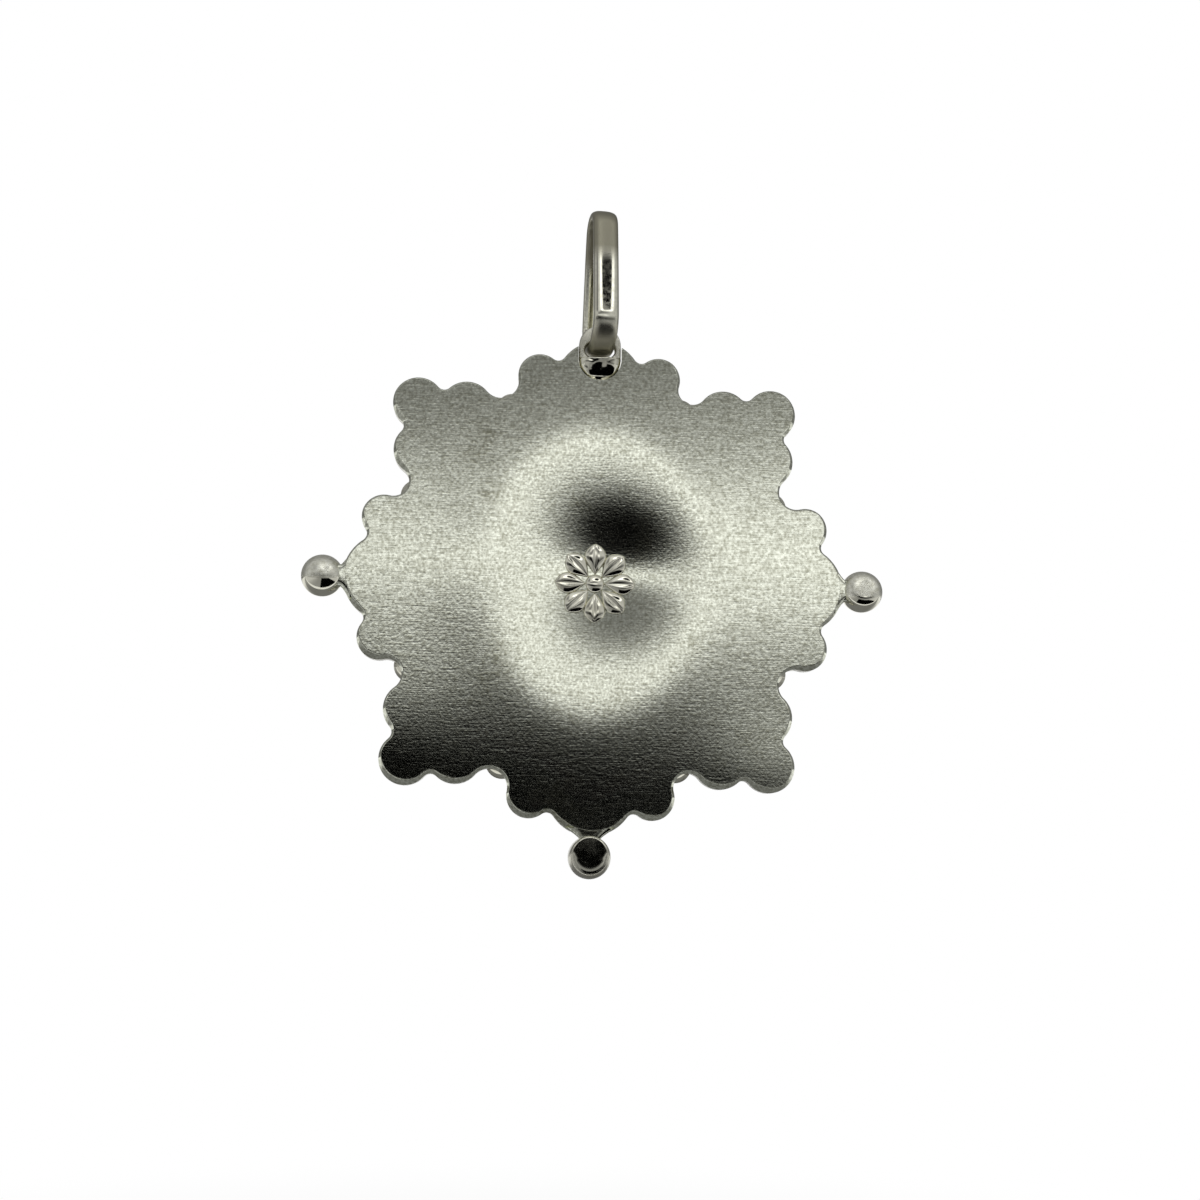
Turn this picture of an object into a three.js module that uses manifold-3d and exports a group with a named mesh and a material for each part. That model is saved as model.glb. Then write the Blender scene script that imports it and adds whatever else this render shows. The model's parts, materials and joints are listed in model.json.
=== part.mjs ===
// A silver medallion with a scalloped star outline, hung from a loose strap bail.
// Millimetres, X to the right, Z up. The satin reverse faces -Y and the domed obverse +Y.
// The origin is the seat of the chain, at the top of the inside of the bail.

import * as THREE from 'three';
import { mergeVertices } from 'three/addons/utils/BufferGeometryUtils.js';
import Module from 'manifold-3d';

const wasm = await Module();
wasm.setup();

// Sheet of the medallion
const PLATE_T = 1.3;
const EDGE_ROUND = 0.4;
const DISH_R = 9.4;
const DISH_DEPTH = 0.5;
const FLOOR_T = 1.2;
const PLATEAU_R = 6.0;
const DOME_WALL = 0.6;

// Lobes of the outline, three at each point of the star and three at each corner of the square
const APEX_OUT = 14.34;
const APEX_R = 3.06;
const POINT_LOBE_R = 1.53;
const POINT_LAP = 0.36;
const POINT_RISE = THREE.MathUtils.degToRad(5.5);
const CORNER_OUT = 12.46;
const CORNER_R = 1.77;
const CORNER_SIDE_R = 1.82;
const CORNER_LAP = 0.19;
const CORNER_DROP = THREE.MathUtils.degToRad(3.7);
const SQUARE_SHIFT = 0.22;
const SMALL_NOTCH_R = 0.55;
const NOTCH_FLOOR = 0.5;

// Domed beads of the border, on the obverse
const BEAD_H = 1.0;
const BEAD_INSET = 0.2;
const APEX_BEAD_INSET = 0.45;
const NOTCH_BEAD_R = 1.15;
const NOTCH_BEAD_PROUD = 0.2;

// Ball finials, each on a peg in the edge of the sheet, ground flat with the reverse
const BALL_R = 1.46;
const BALL_GROUND = 0.3;
const PEG_R = 0.5;
const PEG_DEPTH = 0.6;
const PEG_GAP = 0.05;

// Strap bail and the eye that it runs through
const STRAP_W = 1.8;
const STRAP_T = 0.75;
const BAIL_TOP_R = 1.25;
const BAIL_REACH = 6.72;
const BAIL_TURN = THREE.MathUtils.degToRad(8);
const EYE_T = 0.8;
const EYE_WALL = 1.3;
const EYE_DROP = 0.6;
const EYE_CHEEK = 0.42;
const EYE_PLAY = 0.15;
const SLOT_SLACK = 0.1;
const SLOT_PLAY = 0.3;
const FOOT_L = 0.75;
const SEAT_GAP = 0.05;
const TURN_GAP = 0.25;
const BEAD_GAP = 0.15;

// Heart on the obverse
const HEART_W = 7.2;
const HEART_H = 6.6;
const HEART_T = 1.2;
const HEART_ROUND = 0.4;
const FLAME_W = 3.4;
const FLAME_H = 3.2;
const FLAME_T = 0.8;
const FLAME_ROUND = 0.1;
const FLAME_GAP = 0.4;
const THORN_W = 0.8;
const THORN_T = 0.4;

// Facets
const ARC_STEP = THREE.MathUtils.degToRad(24);
const ROUND_STEPS = 3;
const DISH_SIDES = 40;
const BEAD_SIDES = 14;
const BEAD_RINGS = 4;
const BALL_SIDES = 20;
const BALL_RINGS = 11;
const STRAP_SIDES = 12;

const FRONT = PLATE_T / 2;
const BACK = -PLATE_T / 2;
const APEX_TIP = APEX_OUT + APEX_R;
const EYE_OUT = APEX_TIP - EYE_DROP;
const SLOT_H = STRAP_T + SLOT_PLAY;

const satinSilver = { color: 0xa5a39b, roughness: 0.45, metalness: 1 };
const polishedSilver = { color: 0xc9c8c4, roughness: 0.15, metalness: 1 };

// Solids

function solidOf(geometry) {
  geometry.deleteAttribute('normal');
  geometry.deleteAttribute('uv');
  const merged = mergeVertices(geometry, 1e-4);
  const vertProperties = new Float32Array(merged.attributes.position.array);
  const triVerts = new Uint32Array(merged.index.array);
  return new wasm.Manifold(new wasm.Mesh({ numProp: 3, vertProperties, triVerts }));
}

function geometryOf(solid) {
  const mesh = solid.getMesh();
  const geometry = new THREE.BufferGeometry();
  geometry.setAttribute('position', new THREE.BufferAttribute(mesh.vertProperties, 3));
  geometry.setIndex(new THREE.BufferAttribute(mesh.triVerts, 1));
  return geometry;
}

function piece(name, geometry, finish) {
  const mesh = new THREE.Mesh(geometry, new THREE.MeshStandardMaterial(finish));
  mesh.name = name;
  return mesh;
}

// A sheet whose outline is drawn in X and Z. It fills yLow to yHigh.
function sheet(shape, yLow, yHigh) {
  const geometry = new THREE.ExtrudeGeometry(shape, { depth: yHigh - yLow, bevelEnabled: false });
  return geometry.rotateX(Math.PI / 2).translate(0, yHigh, 0);
}

// The same, with the edge of one face rounded. side is -1 for the face at yLow and 1 for yHigh.
function roundedSheet(shape, yLow, yHigh, round, side) {
  const spare = 2 * round;
  const low = side < 0 ? yLow : yLow - spare;
  const high = side < 0 ? yHigh + spare : yHigh;
  const geometry = new THREE.ExtrudeGeometry(shape, {
    depth: high - low - 2 * round,
    bevelEnabled: true,
    bevelThickness: round,
    bevelSize: round,
    bevelOffset: -round,
    bevelSegments: ROUND_STEPS,
  });
  geometry.rotateX(Math.PI / 2).translate(0, high - round, 0);
  const reach = 4 * (APEX_TIP + CORNER_OUT);
  const waste = new THREE.BoxGeometry(reach, 2 * spare, reach);
  waste.translate(0, side < 0 ? yHigh + spare : yLow - spare, 0);
  return solidOf(geometry).subtract(solidOf(waste));
}

function arcPoints(centre, radius, from, to) {
  const steps = Math.max(2, Math.round(Math.abs(to - from) / ARC_STEP));
  return Array.from({ length: steps + 1 }, (_, i) => {
    const angle = from + ((to - from) * i) / steps;
    return new THREE.Vector2(centre.x + radius * Math.cos(angle), centre.y + radius * Math.sin(angle));
  });
}

// Outline of the sheet

const apexLobe = { at: new THREE.Vector2(0, APEX_OUT), r: APEX_R };
const pointSpan = APEX_R + POINT_LOBE_R - POINT_LAP;
const pointLobe = {
  at: new THREE.Vector2(pointSpan * Math.cos(POINT_RISE), APEX_OUT + pointSpan * Math.sin(POINT_RISE)),
  r: POINT_LOBE_R,
};
const cornerLobe = { at: new THREE.Vector2(CORNER_OUT, CORNER_OUT), r: CORNER_R };
const cornerSpan = CORNER_R + CORNER_SIDE_R - CORNER_LAP;
const cornerSideLobe = {
  at: new THREE.Vector2(
    CORNER_OUT - cornerSpan * Math.cos(CORNER_DROP),
    CORNER_OUT - cornerSpan * Math.sin(CORNER_DROP),
  ),
  r: CORNER_SIDE_R,
};

const swapped = (lobe) => ({ ...lobe, at: new THREE.Vector2(lobe.at.y, lobe.at.x) });

// Turns a place by quarter turns, clockwise as seen from the reverse.
function quarterTurned(at, quarter) {
  return at.clone().rotateAround(new THREE.Vector2(0, 0), (-quarter * Math.PI) / 2);
}

// The round that fills the corner between two lobes and touches both, outside the line of their centres.
function notchRound(a, b, radius) {
  const along = b.at.clone().sub(a.at);
  const span = along.length();
  along.normalize();
  const outward = new THREE.Vector2(-along.y, along.x);
  const reachA = a.r + radius;
  const reachB = b.r + radius;
  const shift = (span * span + reachA * reachA - reachB * reachB) / (2 * span);
  const lift = Math.sqrt(reachA * reachA - shift * shift);
  const at = a.at.clone().addScaledVector(along, shift).addScaledVector(outward, lift);
  return { at, r: radius, outward, floor: at.clone().addScaledVector(outward, -radius) };
}

// The round of a wide notch, found so that its floor lies NOTCH_FLOOR inside the line of centres.
function wideNotch(a, b) {
  const span = a.at.distanceTo(b.at);
  const halfWidth = (lobe, radius) => {
    return Math.sqrt(lobe.r ** 2 + 2 * radius * (lobe.r + NOTCH_FLOOR) - NOTCH_FLOOR ** 2);
  };
  let low = 0;
  let high = span;
  for (let i = 0; i < 50; i += 1) {
    const middle = (low + high) / 2;
    if (halfWidth(a, middle) + halfWidth(b, middle) < span) low = middle;
    else high = middle;
  }
  return notchRound(a, b, low);
}

// One quarter of the outline, clockwise from a point of the star to the next.
const quarterLobes = [
  apexLobe,
  pointLobe,
  cornerSideLobe,
  cornerLobe,
  swapped(cornerSideLobe),
  swapped(pointLobe),
];
const isWide = (index) => index === 1 || index === 4;
const isCorner = (index) => index > 1 && index < 5;

// The corners sit a little to the left of the points, as the outline was cut by hand.
const lobes = [];
for (let quarter = 0; quarter < 4; quarter += 1) {
  quarterLobes.forEach((lobe, i) => {
    const at = quarterTurned(lobe.at, quarter);
    if (isCorner(i)) at.x -= SQUARE_SHIFT;
    lobes.push({ at, r: lobe.r });
  });
}
const notches = lobes.map((lobe, i) => {
  const next = lobes[(i + 1) % lobes.length];
  return isWide(i % quarterLobes.length) ? wideNotch(lobe, next) : notchRound(lobe, next, SMALL_NOTCH_R);
});

const bearing = (from, to) => Math.atan2(to.y - from.y, to.x - from.x);

// Takes an angle to the first equal one below the angle that it follows.
function downFrom(start, end) {
  return end < start ? end : end - 2 * Math.PI;
}

function outlineShape() {
  const points = [];
  lobes.forEach((lobe, i) => {
    const before = notches[(i + notches.length - 1) % notches.length];
    const after = notches[i];
    const next = lobes[(i + 1) % lobes.length];
    const from = bearing(lobe.at, before.at);
    const to = downFrom(from, bearing(lobe.at, after.at));
    points.push(...arcPoints(lobe.at, lobe.r, from, to).slice(0, -1));
    const enter = bearing(after.at, lobe.at);
    const leave = -downFrom(-enter, -bearing(after.at, next.at));
    points.push(...arcPoints(after.at, after.r, enter, leave).slice(0, -1));
  });
  return new THREE.Shape(points);
}

// The sheet

// The hollow of the reverse: a soft dip that runs out level into the flat.
function dishSolid() {
  const profile = [new THREE.Vector2(0, 2 * BACK), new THREE.Vector2(DISH_R, 2 * BACK)];
  const steps = 10;
  for (let i = 0; i <= steps; i += 1) {
    const s = 1 - i / steps;
    const depth = (DISH_DEPTH * (1 + Math.cos(Math.PI * s))) / 2;
    profile.push(new THREE.Vector2(DISH_R * s, BACK + depth));
  }
  return solidOf(new THREE.LatheGeometry(profile, DISH_SIDES));
}

const plateauY = BACK + DISH_DEPTH + FLOOR_T;

// The rise of the obverse over the hollow, flat on top where the heart is fixed.
function domeSolid() {
  const foot = DISH_R + DOME_WALL;
  const profile = [new THREE.Vector2(0, 0), new THREE.Vector2(foot, 0)];
  const steps = 8;
  for (let i = 0; i <= steps; i += 1) {
    const s = i / steps;
    const radius = foot - (foot - PLATEAU_R) * s;
    const rise = (1 - Math.cos(Math.PI * s)) / 2;
    profile.push(new THREE.Vector2(radius, FRONT + (plateauY - FRONT) * rise));
  }
  profile.push(new THREE.Vector2(0, plateauY));
  return solidOf(new THREE.LatheGeometry(profile, DISH_SIDES));
}

const strapTop = EYE_OUT + SLOT_H / 2 - EYE_PLAY;
const bailLowR = EYE_WALL + EYE_PLAY + TURN_GAP + STRAP_T / 2;
const swingZ = strapTop - STRAP_T / 2 + bailLowR;
const bailTopZ = swingZ + BAIL_REACH;

const slotW = STRAP_W / Math.cos(BAIL_TURN) + EYE_T * Math.tan(BAIL_TURN) + 2 * SLOT_SLACK;
const eyeHalf = slotW / 2 + EYE_CHEEK;

// The outline of the eye, round at both ends, grown all round by gap.
function eyeShape(gap) {
  const radius = eyeHalf + gap;
  const top = new THREE.Vector2(0, EYE_OUT + SLOT_H / 2 + EYE_WALL - eyeHalf);
  const bottom = new THREE.Vector2(0, EYE_OUT - FOOT_L);
  const points = [...arcPoints(top, radius, 0, Math.PI), ...arcPoints(bottom, radius, Math.PI, 2 * Math.PI)];
  return new THREE.Shape(points);
}

const finialTurns = [1, 2, 3];

// A blind hole for a finial's peg, drilled into the north tip and then turned to its own.
function pegHole(quarter) {
  const radius = PEG_R + PEG_GAP;
  const geometry = new THREE.CylinderGeometry(radius, radius, APEX_R + PEG_DEPTH, BALL_SIDES);
  geometry.rotateX(Math.PI / 2);
  geometry.translate(0, 0, APEX_TIP + (APEX_R - PEG_DEPTH) / 2);
  return solidOf(geometry.rotateY((quarter * Math.PI) / 2));
}

function backPlate() {
  let solid = roundedSheet(outlineShape(), BACK, FRONT, EDGE_ROUND, -1);
  solid = solid.add(domeSolid()).subtract(dishSolid());
  solid = solid.subtract(solidOf(sheet(eyeShape(SEAT_GAP), 2 * BACK, 2 * FRONT)));
  for (const quarter of finialTurns) solid = solid.subtract(pegHole(quarter));
  return piece('back_plate', geometryOf(solid), satinSilver);
}

// Beads of the border

function beadGeometry(radius) {
  const profile = [new THREE.Vector2(0, 0)];
  for (let i = 0; i <= BEAD_RINGS; i += 1) {
    const angle = ((Math.PI / 2) * i) / BEAD_RINGS;
    profile.push(new THREE.Vector2(i < BEAD_RINGS ? radius * Math.cos(angle) : 0, BEAD_H * Math.sin(angle)));
  }
  return new THREE.LatheGeometry(profile, BEAD_SIDES);
}

function bead(name, at, radius) {
  const mesh = piece(name, beadGeometry(radius), polishedSilver);
  mesh.position.set(at.x, FRONT, at.y);
  return mesh;
}

// The bead at the eye ends short of the circle that the lower bend of the bail sweeps.
const sweepR = bailLowR + STRAP_T / 2 + BEAD_GAP;
const northBeadR = swingZ - Math.sqrt(sweepR ** 2 - FRONT ** 2) - APEX_OUT;

const pointNames = ['north', 'east', 'south', 'west'];
const cornerNames = ['northeast', 'southeast', 'southwest', 'northwest'];

function borderBeads() {
  const group = new THREE.Group();
  for (let quarter = 0; quarter < 4; quarter += 1) {
    const point = pointNames[quarter];
    const nextPoint = pointNames[(quarter + 1) % 4];
    const corner = cornerNames[quarter];
    const beadNames = [
      `${point}_tip_bead`,
      `${point}_leading_bead`,
      `${corner}_first_bead`,
      `${corner}_corner_bead`,
      `${corner}_second_bead`,
      `${nextPoint}_trailing_bead`,
    ];
    beadNames.forEach((name, i) => {
      const index = quarter * quarterLobes.length + i;
      const lobe = lobes[index];
      const radius = lobe.r - (i === 0 ? APEX_BEAD_INSET : BEAD_INSET);
      group.add(bead(name, lobe.at, index === 0 ? northBeadR : radius));
      if (!isWide(i)) return;
      const notch = notches[index];
      const at = notch.floor.clone().addScaledVector(notch.outward, NOTCH_BEAD_PROUD - NOTCH_BEAD_R);
      group.add(bead(`${corner}_${i === 1 ? 'first' : 'second'}_notch_bead`, at, NOTCH_BEAD_R));
    });
  }
  return group;
}

// Ball finials

const ballSeat = Math.sqrt(BALL_R * BALL_R - PEG_R * PEG_R);

function ballFinial(quarter) {
  const tail = -(ballSeat + PEG_GAP + PEG_DEPTH);
  const profile = [new THREE.Vector2(0, tail), new THREE.Vector2(PEG_R, tail)];
  const start = Math.asin(PEG_R / BALL_R);
  for (let i = 0; i <= BALL_RINGS; i += 1) {
    const angle = start + ((Math.PI - start) * i) / BALL_RINGS;
    const radius = i < BALL_RINGS ? BALL_R * Math.sin(angle) : 0;
    profile.push(new THREE.Vector2(radius, -BALL_R * Math.cos(angle)));
  }
  const turned = new THREE.LatheGeometry(profile, BALL_SIDES).rotateX(Math.PI / 2);
  const waste = new THREE.BoxGeometry(3 * BALL_R, 2 * BALL_GROUND, 3 * BALL_R).translate(0, -BALL_R, 0);
  const geometry = geometryOf(solidOf(turned).subtract(solidOf(waste)));
  geometry.translate(0, 0, APEX_TIP + PEG_GAP + ballSeat);
  const mesh = piece(`${pointNames[quarter]}_ball_finial`, geometry, polishedSilver);
  mesh.rotation.y = (quarter * Math.PI) / 2;
  return mesh;
}

// Eye and bail

function topEye() {
  const shape = eyeShape(0);
  const half = slotW / 2 - SLOT_H / 2;
  const right = new THREE.Vector2(half, EYE_OUT);
  const left = new THREE.Vector2(-half, EYE_OUT);
  const slot = [
    ...arcPoints(right, SLOT_H / 2, -Math.PI / 2, Math.PI / 2),
    ...arcPoints(left, SLOT_H / 2, Math.PI / 2, (3 * Math.PI) / 2),
  ];
  shape.holes.push(new THREE.Path(slot));
  return piece('top_eye', sheet(shape, -EYE_T / 2, EYE_T / 2), polishedSilver);
}

const chainSeatZ = bailTopZ + BAIL_TOP_R - STRAP_T / 2;

// The middle line of the strap: a belt round a small circle at the eye and a larger one at the chain.
function bailStations() {
  const lean = Math.asin((BAIL_TOP_R - bailLowR) / BAIL_REACH);
  const low = new THREE.Vector2(0, swingZ);
  const high = new THREE.Vector2(0, bailTopZ);
  const runSteps = 6;
  const stations = [];
  const addArc = (centre, radius, from, to) => {
    const steps = 14;
    for (let i = 0; i <= steps; i += 1) {
      const angle = from + ((to - from) * i) / steps;
      const out = new THREE.Vector2(Math.cos(angle), Math.sin(angle));
      stations.push({ at: centre.clone().addScaledVector(out, radius), out });
    }
  };
  const addRun = (angle, fromCentre, fromRadius, toCentre, toRadius) => {
    const out = new THREE.Vector2(Math.cos(angle), Math.sin(angle));
    const start = fromCentre.clone().addScaledVector(out, fromRadius);
    const end = toCentre.clone().addScaledVector(out, toRadius);
    for (let i = 1; i < runSteps; i += 1) stations.push({ at: start.clone().lerp(end, i / runSteps), out });
  };
  addArc(low, bailLowR, -Math.PI + lean, -lean);
  addRun(-lean, low, bailLowR, high, BAIL_TOP_R);
  addArc(high, BAIL_TOP_R, -lean, Math.PI + lean);
  addRun(Math.PI + lean, high, BAIL_TOP_R, low, bailLowR);
  return stations;
}

// The section of the strap: flat inside, crowned outside, with soft edges.
function strapSection() {
  return Array.from({ length: STRAP_SIDES }, (_, i) => {
    const angle = (2 * Math.PI * i) / STRAP_SIDES;
    const across = (STRAP_W / 2) * Math.sign(Math.cos(angle)) * Math.abs(Math.cos(angle)) ** 0.7;
    const flatness = angle < Math.PI ? 0.9 : 0.35;
    const out = (STRAP_T / 2) * Math.sign(Math.sin(angle)) * Math.abs(Math.sin(angle)) ** flatness;
    return new THREE.Vector2(across, out);
  });
}

function bail() {
  const stations = bailStations();
  const section = strapSection();
  const positions = [];
  for (const { at, out } of stations) {
    for (const spot of section) positions.push(spot.x, at.x + out.x * spot.y, at.y + out.y * spot.y);
  }
  const index = [];
  stations.forEach((_, i) => {
    const here = i * STRAP_SIDES;
    const there = ((i + 1) % stations.length) * STRAP_SIDES;
    for (let j = 0; j < STRAP_SIDES; j += 1) {
      const k = (j + 1) % STRAP_SIDES;
      index.push(here + j, here + k, there + k, here + j, there + k, there + j);
    }
  });
  const geometry = new THREE.BufferGeometry();
  geometry.setAttribute('position', new THREE.Float32BufferAttribute(positions, 3));
  geometry.setIndex(index);
  const mesh = piece('bail', geometry, polishedSilver);
  mesh.rotation.z = BAIL_TURN;
  return mesh;
}

// Heart, flame and thorn band on the obverse

const cleftZ = 0.3 * HEART_H;
const heartPoint = -0.5 * HEART_H;

function heartShape() {
  const half = HEART_W / 2;
  const shape = new THREE.Shape();
  shape.moveTo(0, cleftZ);
  shape.bezierCurveTo(0.35 * half, 0.55 * HEART_H, half, 0.5 * HEART_H, half, 0.18 * HEART_H);
  shape.bezierCurveTo(half, -0.12 * HEART_H, 0.4 * half, -0.28 * HEART_H, 0, heartPoint);
  shape.bezierCurveTo(-0.4 * half, -0.28 * HEART_H, -half, -0.12 * HEART_H, -half, 0.18 * HEART_H);
  shape.bezierCurveTo(-half, 0.5 * HEART_H, -0.35 * half, 0.55 * HEART_H, 0, cleftZ);
  return new THREE.Shape(shape.getPoints(7).slice(0, -1));
}

function flameShape() {
  const half = FLAME_W / 2;
  const shape = new THREE.Shape();
  shape.moveTo(0, 0);
  shape.quadraticCurveTo(0.95 * half, 0.18 * FLAME_H, half, 0.66 * FLAME_H);
  shape.quadraticCurveTo(0.75 * half, 0.45 * FLAME_H, 0.42 * half, 0.5 * FLAME_H);
  shape.quadraticCurveTo(0.4 * half, 0.75 * FLAME_H, 0, FLAME_H);
  shape.quadraticCurveTo(-0.4 * half, 0.75 * FLAME_H, -0.42 * half, 0.5 * FLAME_H);
  shape.quadraticCurveTo(-0.75 * half, 0.45 * FLAME_H, -half, 0.66 * FLAME_H);
  shape.quadraticCurveTo(-0.95 * half, 0.18 * FLAME_H, 0, 0);
  return new THREE.Shape(shape.getPoints(4).slice(0, -1));
}

// The arched band that wraps the heart, as wide as the flat of its face.
function thornBandShape() {
  const reach = HEART_W / 2 - 2 * HEART_ROUND;
  const middle = new THREE.Vector2(0, reach);
  const radius = Math.hypot(reach, reach);
  const from = -0.75 * Math.PI;
  const to = -0.25 * Math.PI;
  const outer = arcPoints(middle, radius + THORN_W / 2, from, to);
  const inner = arcPoints(middle, radius - THORN_W / 2, to, from);
  return new THREE.Shape([...outer, ...inner]);
}

const flameTip = cleftZ + FLAME_GAP + FLAME_H;

function heartRelief() {
  const group = new THREE.Group();
  const heartTop = plateauY + HEART_T;
  const heart = roundedSheet(heartShape(), plateauY, heartTop, HEART_ROUND, 1);
  group.add(piece('sacred_heart', geometryOf(heart), polishedSilver));
  const flame = roundedSheet(flameShape(), plateauY, plateauY + FLAME_T, FLAME_ROUND, 1);
  const flamePiece = piece('heart_flame', geometryOf(flame), polishedSilver);
  flamePiece.position.z = cleftZ + FLAME_GAP;
  group.add(flamePiece);
  group.add(piece('thorn_band', sheet(thornBandShape(), heartTop, heartTop + THORN_T), polishedSilver));
  group.position.z = -(heartPoint + flameTip) / 2;
  return group;
}

const medallion = new THREE.Group();
medallion.add(backPlate(), borderBeads(), topEye(), heartRelief(), bail());
for (const quarter of finialTurns) medallion.add(ballFinial(quarter));
medallion.position.z = -chainSeatZ;

const model = new THREE.Group();
model.add(medallion);
export default model;
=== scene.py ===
# %% [markdown]
# # A silver medallion, seen from its satin back
# The pendant is a scalloped silver sheet, brushed on the back and beaded on the front, that swings
# under a strap bail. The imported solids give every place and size. This script dresses them: each
# solid gets a finer mesh where its facets would show on polished metal, and each finish gets a
# material made of nodes. Sizes of the pendant are written in millimetres, and MM turns them into the
# metres that Blender takes. Only the studio at the end is laid out in metres.

# %% Load the frame
import json
import math

import bmesh
import bpy
import numpy as np
from mathutils import Matrix, Vector, noise

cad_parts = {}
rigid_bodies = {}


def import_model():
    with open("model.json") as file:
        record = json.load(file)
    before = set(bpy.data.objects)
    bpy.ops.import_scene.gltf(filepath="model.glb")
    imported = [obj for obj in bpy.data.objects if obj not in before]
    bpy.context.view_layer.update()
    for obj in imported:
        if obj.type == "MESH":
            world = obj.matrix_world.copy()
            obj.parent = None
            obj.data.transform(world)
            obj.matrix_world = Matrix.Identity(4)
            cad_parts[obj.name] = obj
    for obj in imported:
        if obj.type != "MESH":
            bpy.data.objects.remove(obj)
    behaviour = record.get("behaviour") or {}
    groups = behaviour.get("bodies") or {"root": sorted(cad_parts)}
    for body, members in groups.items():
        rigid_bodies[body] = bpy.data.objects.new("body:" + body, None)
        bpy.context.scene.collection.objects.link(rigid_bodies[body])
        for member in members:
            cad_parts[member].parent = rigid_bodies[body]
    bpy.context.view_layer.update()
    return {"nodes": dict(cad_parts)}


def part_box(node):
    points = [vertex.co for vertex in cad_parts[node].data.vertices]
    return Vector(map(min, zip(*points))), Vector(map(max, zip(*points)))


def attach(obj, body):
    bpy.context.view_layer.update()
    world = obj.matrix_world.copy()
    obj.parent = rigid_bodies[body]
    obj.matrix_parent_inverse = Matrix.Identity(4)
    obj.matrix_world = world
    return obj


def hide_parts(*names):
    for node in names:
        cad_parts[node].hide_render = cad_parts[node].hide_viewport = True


for leftover in list(bpy.data.objects):
    bpy.data.objects.remove(leftover)
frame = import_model()
scene = bpy.context.scene

MM = 0.001
ball_low, ball_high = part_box("east_ball_finial")
CENTRE_Z = (ball_low.z + ball_high.z) / 2
print(f"{len(frame['nodes'])} solids, middle of the medallion at z {CENTRE_Z / MM:.2f} mm")

# %% [markdown]
# ## Grain and tarnish
# Silver is one metal with several finishes. The back was brushed from side to side, so its grain is a
# noise stretched along X. The rim, balls and strap were polished and then carried, so they show fine
# scratches. Both also have faint warm clouds of tarnish. A painted picture could show all this, but
# noise has no seams and no end. Every finish uses grain and clouds, so each is a node group, built
# once and placed with other values in each material. The groups put out heights and masks only.

# %% Node helpers
VECTOR, FLOAT = "NodeSocketVector", "NodeSocketFloat"


def set_inputs(made, inputs):
    """Sets inputs of a node, or links them where the value is another node's socket."""
    for key, value in inputs.items():
        if isinstance(value, bpy.types.NodeSocket):
            made.id_data.links.new(value, made.inputs[key])
        else:
            made.inputs[key].default_value = value


def node(tree, kind, inputs=None, **props):
    """A node with its properties set and its inputs set or linked."""
    made = tree.nodes.new(kind)
    for name, value in props.items():
        setattr(made, name, value)
    set_inputs(made, inputs or {})
    return made


def group_of(name, kind, inputs, outputs):
    """An empty node group with its sockets. inputs and outputs are lists of (name, type, default)."""
    tree = bpy.data.node_groups.new(name, kind)
    for way, sockets in (("INPUT", inputs), ("OUTPUT", outputs)):
        for title, socket_type, default in sockets:
            socket = tree.interface.new_socket(name=title, in_out=way, socket_type=socket_type)
            if default is not None:
                socket.default_value = default
    return tree, tree.nodes.new("NodeGroupInput").outputs, tree.nodes.new("NodeGroupOutput").inputs


def maths(tree, operation, *values):
    """The result of a maths node."""
    return node(tree, "ShaderNodeMath", dict(enumerate(values)), operation=operation).outputs[0]


def vector_maths(tree, operation, *values, **named):
    """The result of a vector maths node, which is a number for a length and else a vector."""
    inputs = {**dict(enumerate(values)), **named}
    made = node(tree, "ShaderNodeVectorMath", inputs, operation=operation)
    return made.outputs["Value" if operation == "LENGTH" else "Vector"]


def remapped(tree, value, low, high, to_low=0.0, to_high=1.0, way="LINEAR"):
    """A value with low to high turned into to_low to to_high, and held there beyond."""
    inputs = {"Value": value, "From Min": low, "From Max": high, "To Min": to_low, "To Max": to_high}
    return node(tree, "ShaderNodeMapRange", inputs, interpolation_type=way).outputs[0]


def mixed(tree, share, a, b):
    """Colour a where share is 0 and b where it is 1."""
    return node(tree, "ShaderNodeMix", {0: share, 6: a, 7: b}, data_type="RGBA").outputs[2]


# %% Grain group
# The height is part streaks and part even speckle, whose spots are wider than a streak
STREAK_SHARE, SPECKLE_RATE = 0.35, 0.38
GRAIN_LOW, GRAIN_HIGH = 0.35, 0.65

grain_group, asked, given = group_of(
    "brushed_grain", "ShaderNodeTree",
    [("Vector", VECTOR, None), ("Length mm", FLOAT, 1.5), ("Width mm", FLOAT, 0.07)],
    [("Height", FLOAT, None), ("Mask", FLOAT, None)],
)
along = maths(grain_group, "DIVIDE", 1 / MM, asked["Length mm"])
across = maths(grain_group, "DIVIDE", 1 / MM, asked["Width mm"])
noises = []
for x_rate, look in ((along, {"Scale": 1.0, "Detail": 3.0, "Roughness": 0.6}),
                     (across, {"Scale": SPECKLE_RATE, "Detail": 2.0})):
    rates = node(grain_group, "ShaderNodeCombineXYZ", {"X": x_rate, "Y": across, "Z": across})
    spot = vector_maths(grain_group, "MULTIPLY", asked["Vector"], rates.outputs[0])
    noises.append(node(grain_group, "ShaderNodeTexNoise", {"Vector": spot, **look}).outputs["Fac"])
streaks, speckle = noises
both = maths(grain_group, "ADD", maths(grain_group, "MULTIPLY", streaks, STREAK_SHARE),
             maths(grain_group, "MULTIPLY", speckle, 1 - STREAK_SHARE))
grain_group.links.new(both, given["Height"])
grain_group.links.new(remapped(grain_group, both, GRAIN_LOW, GRAIN_HIGH), given["Mask"])
print(f"{grain_group.name}: {len(grain_group.nodes)} nodes")

# %% Tarnish group
# A cloud starts where the noise is over a limit, which a higher cover brings down, and is full a step later
CLOUD_LIMIT, COVER_DROP, CLOUD_STEP = 0.75, 0.5, 0.25

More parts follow.
